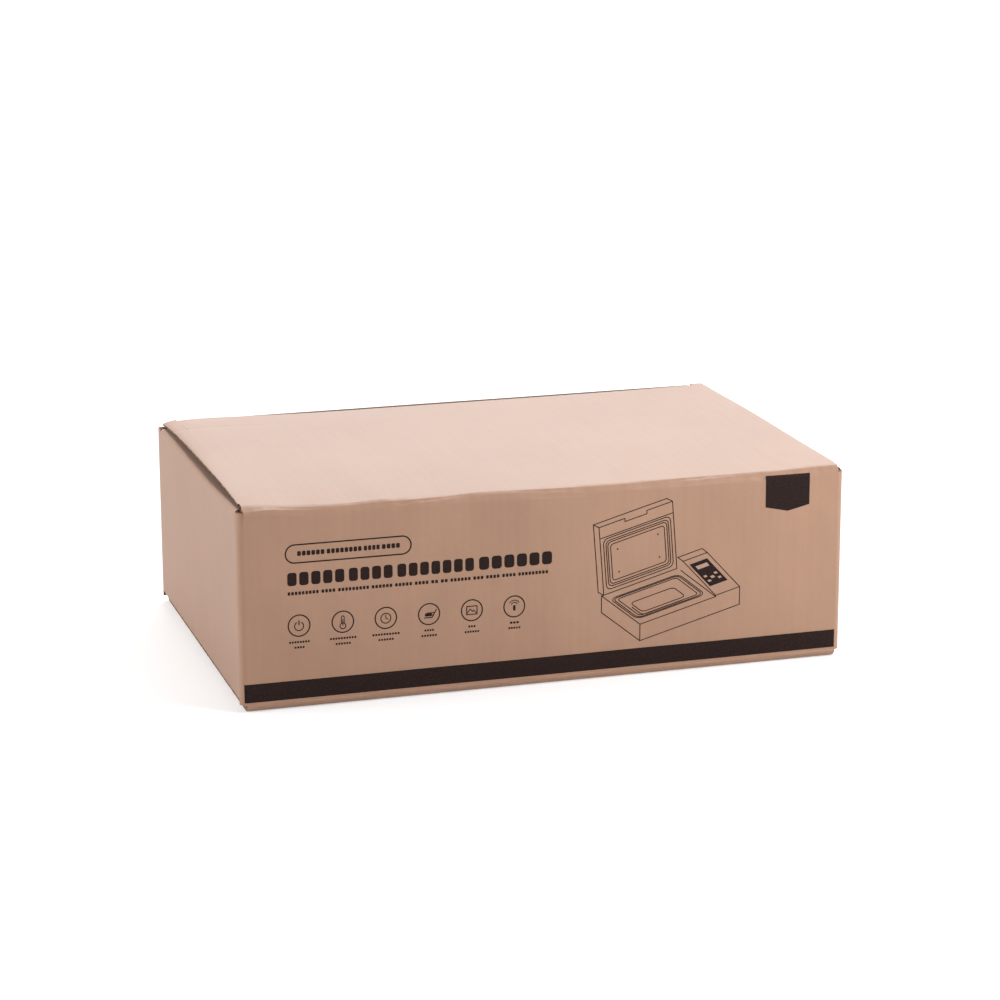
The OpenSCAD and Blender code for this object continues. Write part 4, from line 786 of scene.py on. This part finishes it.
pennant = Print(on_front)
pennant_top, pennant_foot, pennant_tip = 141.2, 118.0, 3.8
u, v = np.meshgrid(np.linspace(164, 198, 15), np.linspace(0, 1, 25))
foot = pennant_foot - pennant_tip * (1 - np.abs(u - 181.2) / 17.0)
pennant.add(np.stack([u, pennant_top + (foot - pennant_top) * v], -1).reshape(-1, 2),
            quads(np.arange(u.size).reshape(u.shape)), proud=0.00022)
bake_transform(pennant.done("carton_print_pennant", [ink]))

# Packing: two end caps and a lid pad of white expanded polyethylene foam, cut from planks with a hot wire. The
# caps stand on the carton's floor and cradle the press by its ends. The pad is glued under the lid.
def eased(name, node, look, width, segments=2):
    """A copy of a CAD node with its tessellation merged and its edges rounded to that width."""
    form = bmesh.new()
    form.from_mesh(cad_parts[node].data)
    bmesh.ops.remove_doubles(form, verts=form.verts, dist=1e-6)
    bmesh.ops.dissolve_limit(form, angle_limit=0.01, verts=form.verts, edges=form.edges)
    mesh = bpy.data.meshes.new(name)
    form.to_mesh(mesh)
    form.free()
    mesh.materials.append(look)
    obj = shown(name, mesh)
    soft = obj.modifiers.new("eased", "BEVEL")
    soft.width, soft.segments, soft.limit_method, soft.angle_limit = width, segments, "ANGLE", 0.7
    return obj


def mottled(name, dark, pale, rough, size=0.004, metal=0.0, relief=0.00003, stretch=(1.0, 1.0, 1.0), **fixed):
    """A finish whose colour and roughness follow soft noise, with relief of that depth in metres."""
    made, place, fill = finish(name, rough, metal, **fixed)
    noise = place.spots(size, 3.0, stretch)
    fill(Base_Color=noise.over(0.3, 0.7).mixed(tint(*dark), tint(*pale)), Roughness=rough - 0.06 + noise * 0.12,
         bump=noise, depth=relief)
    return made


foam, place, fill = finish("white_foam", 0.85, Specular_IOR_Level=0.25,
                           Subsurface_Weight=0.15, Subsurface_Scale=0.004)
cell = place.node("ShaderNodeTexVoronoi", None, {"Vector": place, "Scale": 380.0})
fill(Base_Color=cell.over(0.0, 0.9).mixed(tint(226, 226, 222), tint(244, 244, 241)), bump=cell, depth=0.0004)
for node, body in (("foam_cap_left", "carton"), ("foam_cap_right", "carton"), ("lid_pad", "carton_lid")):
    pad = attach(eased(node + "_piece", node, foam, 0.0015), body)
    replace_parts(pad, node)

# Case of the press: a white upper shell with the raised control block and a charcoal lower tray, both injection
# moulded in ABS. Self-tapping screws go up from below, next to four moulded rubber feet.
white_abs = mottled("white_abs_spark_finish", (224, 224, 221), (236, 236, 233), 0.42, 0.0012, relief=0.00004)
charcoal_abs = mottled("charcoal_abs_spark_finish", (42, 43, 46), (54, 55, 58), 0.5, 0.0012, relief=0.00005)
rubber = mottled("black_rubber", (22, 22, 23), (34, 34, 35), 0.8, 0.002)
zinc = mottled("zinc_plated_steel", (168, 170, 172), (196, 197, 198), 0.32, 0.003, metal=1.0, relief=0.00001)
for name, node, look, width, body, slot_name in (
    ("press_upper_shell", "upper_shell", white_abs, 0.0005, "carton", "white_shell"),
    ("press_lower_shell", "lower_shell", charcoal_abs, 0.0004, "carton", "charcoal_shell"),
    ("press_lid_cover", "press_lid_shell", white_abs, 0.0005, "machine_lid", "white_shell"),
    ("press_lid_grip", "lid_handle", charcoal_abs, 0.0004, "machine_lid", "charcoal_shell"),
):
    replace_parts(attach(eased(name, node, look, width), body), node)
dress(rubber, "rubber_feet")
dress(zinc, "case_screws", "lid_screws", "hinge_brackets", "hinge_leaves", "hinge_pins")

# Vacuum chamber: a deep-drawn stainless basin with a perforated platen on its floor, and the aluminium mould of
# a phone case on that. A red silicone gasket lies in the shell's groove round it, and a brass port leads to the
# clear hose under the floor.
stainless = mottled("brushed_stainless", (150, 152, 154), (186, 187, 188), 0.34, 0.0016, metal=1.0,
                    stretch=(0.06, 1.0, 1.0))
milled = mottled("milled_heater_aluminium", (150, 151, 153), (176, 177, 179), 0.38, 0.0018, metal=1.0,
                 stretch=(1.0, 0.08, 1.0))
hose = mottled("milky_silicone_hose", (206, 206, 200), (226, 226, 220), 0.35, 0.004, Transmission_Weight=0.45)
dress(stainless, "chamber_basin", "platen", "lid_frame")
dress(mottled("cast_aluminium", (158, 160, 163), (184, 186, 188), 0.42, 0.002, metal=1.0), "phone_mould")
dress(milled, "heater_plate")
dress(mottled("red_silicone", (166, 40, 30), (188, 54, 42), 0.55, 0.005), "chamber_gasket")
dress(mottled("brass", (186, 150, 78), (206, 172, 98), 0.3, 0.004, metal=1.0, relief=0.00001), "vacuum_port")
dress(hose, "vacuum_hose")

# Control panel: a black polycarbonate overlay on the sloping face of the block, with a tinted window for the
# numbers of a display. Five round rubber-dome keys come through it, and carry simple signs: a ring with a bar,
# a square, two arrows and a wedge.
dress(mottled("black_overlay", (20, 21, 23), (26, 27, 29), 0.28, 0.002, relief=0.00001), "control_overlay")
dress(mottled("smoked_window", (30, 8, 8), (38, 11, 11), 0.12, 0.01, relief=0.000002), "display_window")
grey_key = mottled("grey_key", (116, 118, 122), (132, 134, 138), 0.45, 0.0015)
dress(grey_key, "key_power", "key_set", "key_up", "key_down", "key_start")
tilt = np.radians(8.958)
press_x, press_y, press_z = -0.020, 0.00625, 0.0209  # the press's place in the carton
panel_x, panel_y, panel_z = 0.129, -0.004, 0.0765  # the panel's centre in the press's own frame


def on_panel(u, v, proud):
    """Points on the sloping panel, from its centre: along the press's length, up the slope, and out of it.
    The press stands half turned in the carton."""
    y = panel_y + v * np.cos(tilt) - proud * np.sin(tilt)
    z = panel_z + v * np.sin(tilt) + proud * np.cos(tilt)
    return np.stack([press_x - panel_x - u, press_y - y, press_z + z], -1)


signs = mottled("white_screen_ink", (226, 228, 230), (238, 239, 240), 0.5, 0.002)
digit = mottled("unlit_digits", (74, 30, 28), (84, 36, 34), 0.4, 0.002)
top_of_key, key_line = 0.00127, 0.7
for node, x, z in (("key_power", -18, -12), ("key_set", 18, -12), ("key_up", -18, -38), ("key_down", 18, -38),
                   ("key_start", 0, -25)):
    sign = Print(on_panel)
    if node == "key_power":
        sign.ring(x, z, 3.0, key_line, -240, 60, proud=top_of_key)
        sign.line([[x, z + 0.6], [x, z + 3.6]], key_line, proud=top_of_key)
    elif node == "key_set":
        sign.line(np.array([[-1, -1], [1, -1], [1, 1], [-1, 1]]) * 2.4 + [x, z], key_line, True,
                  proud=top_of_key)
    elif node == "key_start":
        sign.add([[x - 2.0, z - 2.8], [x + 3.2, z], [x - 2.0, z + 2.8]], [[0, 1, 2]], proud=top_of_key)
    else:
        way = 1 if node == "key_up" else -1
        sign.add([[x - 3.0, z - 1.8 * way], [x + 3.0, z - 1.8 * way], [x, z + 2.8 * way]],
                 [[0, 1, 2]], proud=top_of_key)
    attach(sign.done(node + "_sign", [signs]), node)
frame_line = Print(on_panel)
frame_line.line(rounded(58, 124, 5), 0.5, True, proud=0.0005)
frame_line.line(rounded(47, 23, 2) + [0, 38], 0.5, True, proud=0.0005)
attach(frame_line.done("panel_lines", [signs]), "carton")
digits = Print(on_panel)
bars = {"a": ((0, 5.2), (1, 0)), "b": ((2.6, 2.6), (0, 1)), "c": ((2.6, -2.6), (0, 1)),
        "d": ((0, -5.2), (1, 0)), "e": ((-2.6, -2.6), (0, 1)), "f": ((-2.6, 2.6), (0, 1)),
        "g": ((0, 0), (1, 0))}  # each bar of a digit: its middle, and which way it lies
digit_z, half_bar = 38, 0.4
for x, lights in ((-15.5, "bc"), (-7.5, "abcdefg"), (0.5, "abcdef"), (9.5, "acdefg"), (17.5, "abcdef")):
    for bar in lights:
        (cx, cy), (wide, tall) = bars[bar]
        wide, tall = half_bar + 1.7 * wide, half_bar + 1.7 * tall
        digits.block(x + cx - wide, x + cx + wide, digit_z + cy - tall, digit_z + cy + tall, 0.3, proud=0.0009)
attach(digits.done("panel_digits", [digit]), "carton")

# Works inside the case: a diaphragm pump and its motor, an electric release valve, a cooling fan, two circuit
# boards and the mains parts. They are bought-in pieces of black nylon, zinc-plated steel and glass-fibre board,
# screwed to the lower tray.
nylon = mottled("black_nylon", (24, 24, 26), (36, 36, 38), 0.5, 0.0016, relief=0.00004)
motor_steel = mottled("motor_steel", (140, 142, 145), (170, 171, 173), 0.36, 0.002, metal=1.0, relief=0.00001)
dress(mottled("green_circuit_board", (22, 78, 44), (32, 96, 56), 0.4, 0.003), "control_board", "power_board")
dress(nylon, "pump_head", "fan_frame", "fan_rotor", "power_inlet", "switch_body")
dress(motor_steel, "pump_motor", "pump_eccentric", "valve_plunger")
dress(mottled("blue_valve_coil", (34, 58, 118), (46, 74, 138), 0.45, 0.003), "valve_body")
dress(mottled("red_rocker", (176, 28, 24), (196, 40, 34), 0.32, 0.003, relief=0.00001), "switch_rocker")

# Works in the press's lid: a heater plate with a tubular element laid to and fro on its back, under a blanket
# of ceramic fibre. A sheet of amber silicone is stretched below the plate, clamped between a black and a bright
# frame by screws, and draws down on the mould.
element = mottled("oxidised_element_steel", (96, 74, 60), (134, 108, 90), 0.45, 0.004, metal=1.0)
dress(element, "heating_element")
dress(mottled("black_clamp_frame", (28, 28, 30), (40, 40, 42), 0.45, 0.002), "membrane_frame")
dress(mottled("thermostat_ceramic", (222, 216, 204), (236, 231, 220), 0.5, 0.003), "thermostat")
fibre = mottled("ceramic_fibre", (222, 220, 212), (243, 241, 235), 0.95, 0.0022, relief=0.0006,
                stretch=(0.5, 1.0, 1.4), Specular_IOR_Level=0.1)
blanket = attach(eased("insulation_blanket", "insulation_pad", fibre, 0.0022, 3), "machine_lid")
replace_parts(blanket, "insulation_pad")
amber, place, fill = finish("amber_silicone", 0.3, Transmission_Weight=0.55, Specular_IOR_Level=0.5)
fill(Base_Color=place.spots(0.03).mixed(tint(206, 140, 84), tint(222, 160, 104)),
     bump=place.spots(0.004), depth=0.00002)
low, top = (np.array(v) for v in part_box("membrane"))
open_l, open_w, droop = 0.194 / 2, 0.119 / 2, 0.0014  # half the frame's opening, and the sheet's sag in it
u, v = np.meshgrid(np.linspace(low[0], top[0], 60), np.linspace(low[1], top[1], 50), indexing="ij")
middle = (low[0] + top[0]) / 2, press_y
sag = np.clip(1 - ((u - middle[0]) / open_l) ** 2, 0, 1) * np.clip(1 - ((v - middle[1]) / open_w) ** 2, 0, 1)
skin = np.stack([u, v, top[2] - droop * sag], -1)
under = skin - [0, 0, top[2] - low[2]]
sheet = sheet_of_board("silicone_sheet", skin, under, [amber] * 4)
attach(sheet, "machine_lid")
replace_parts(sheet, "membrane")
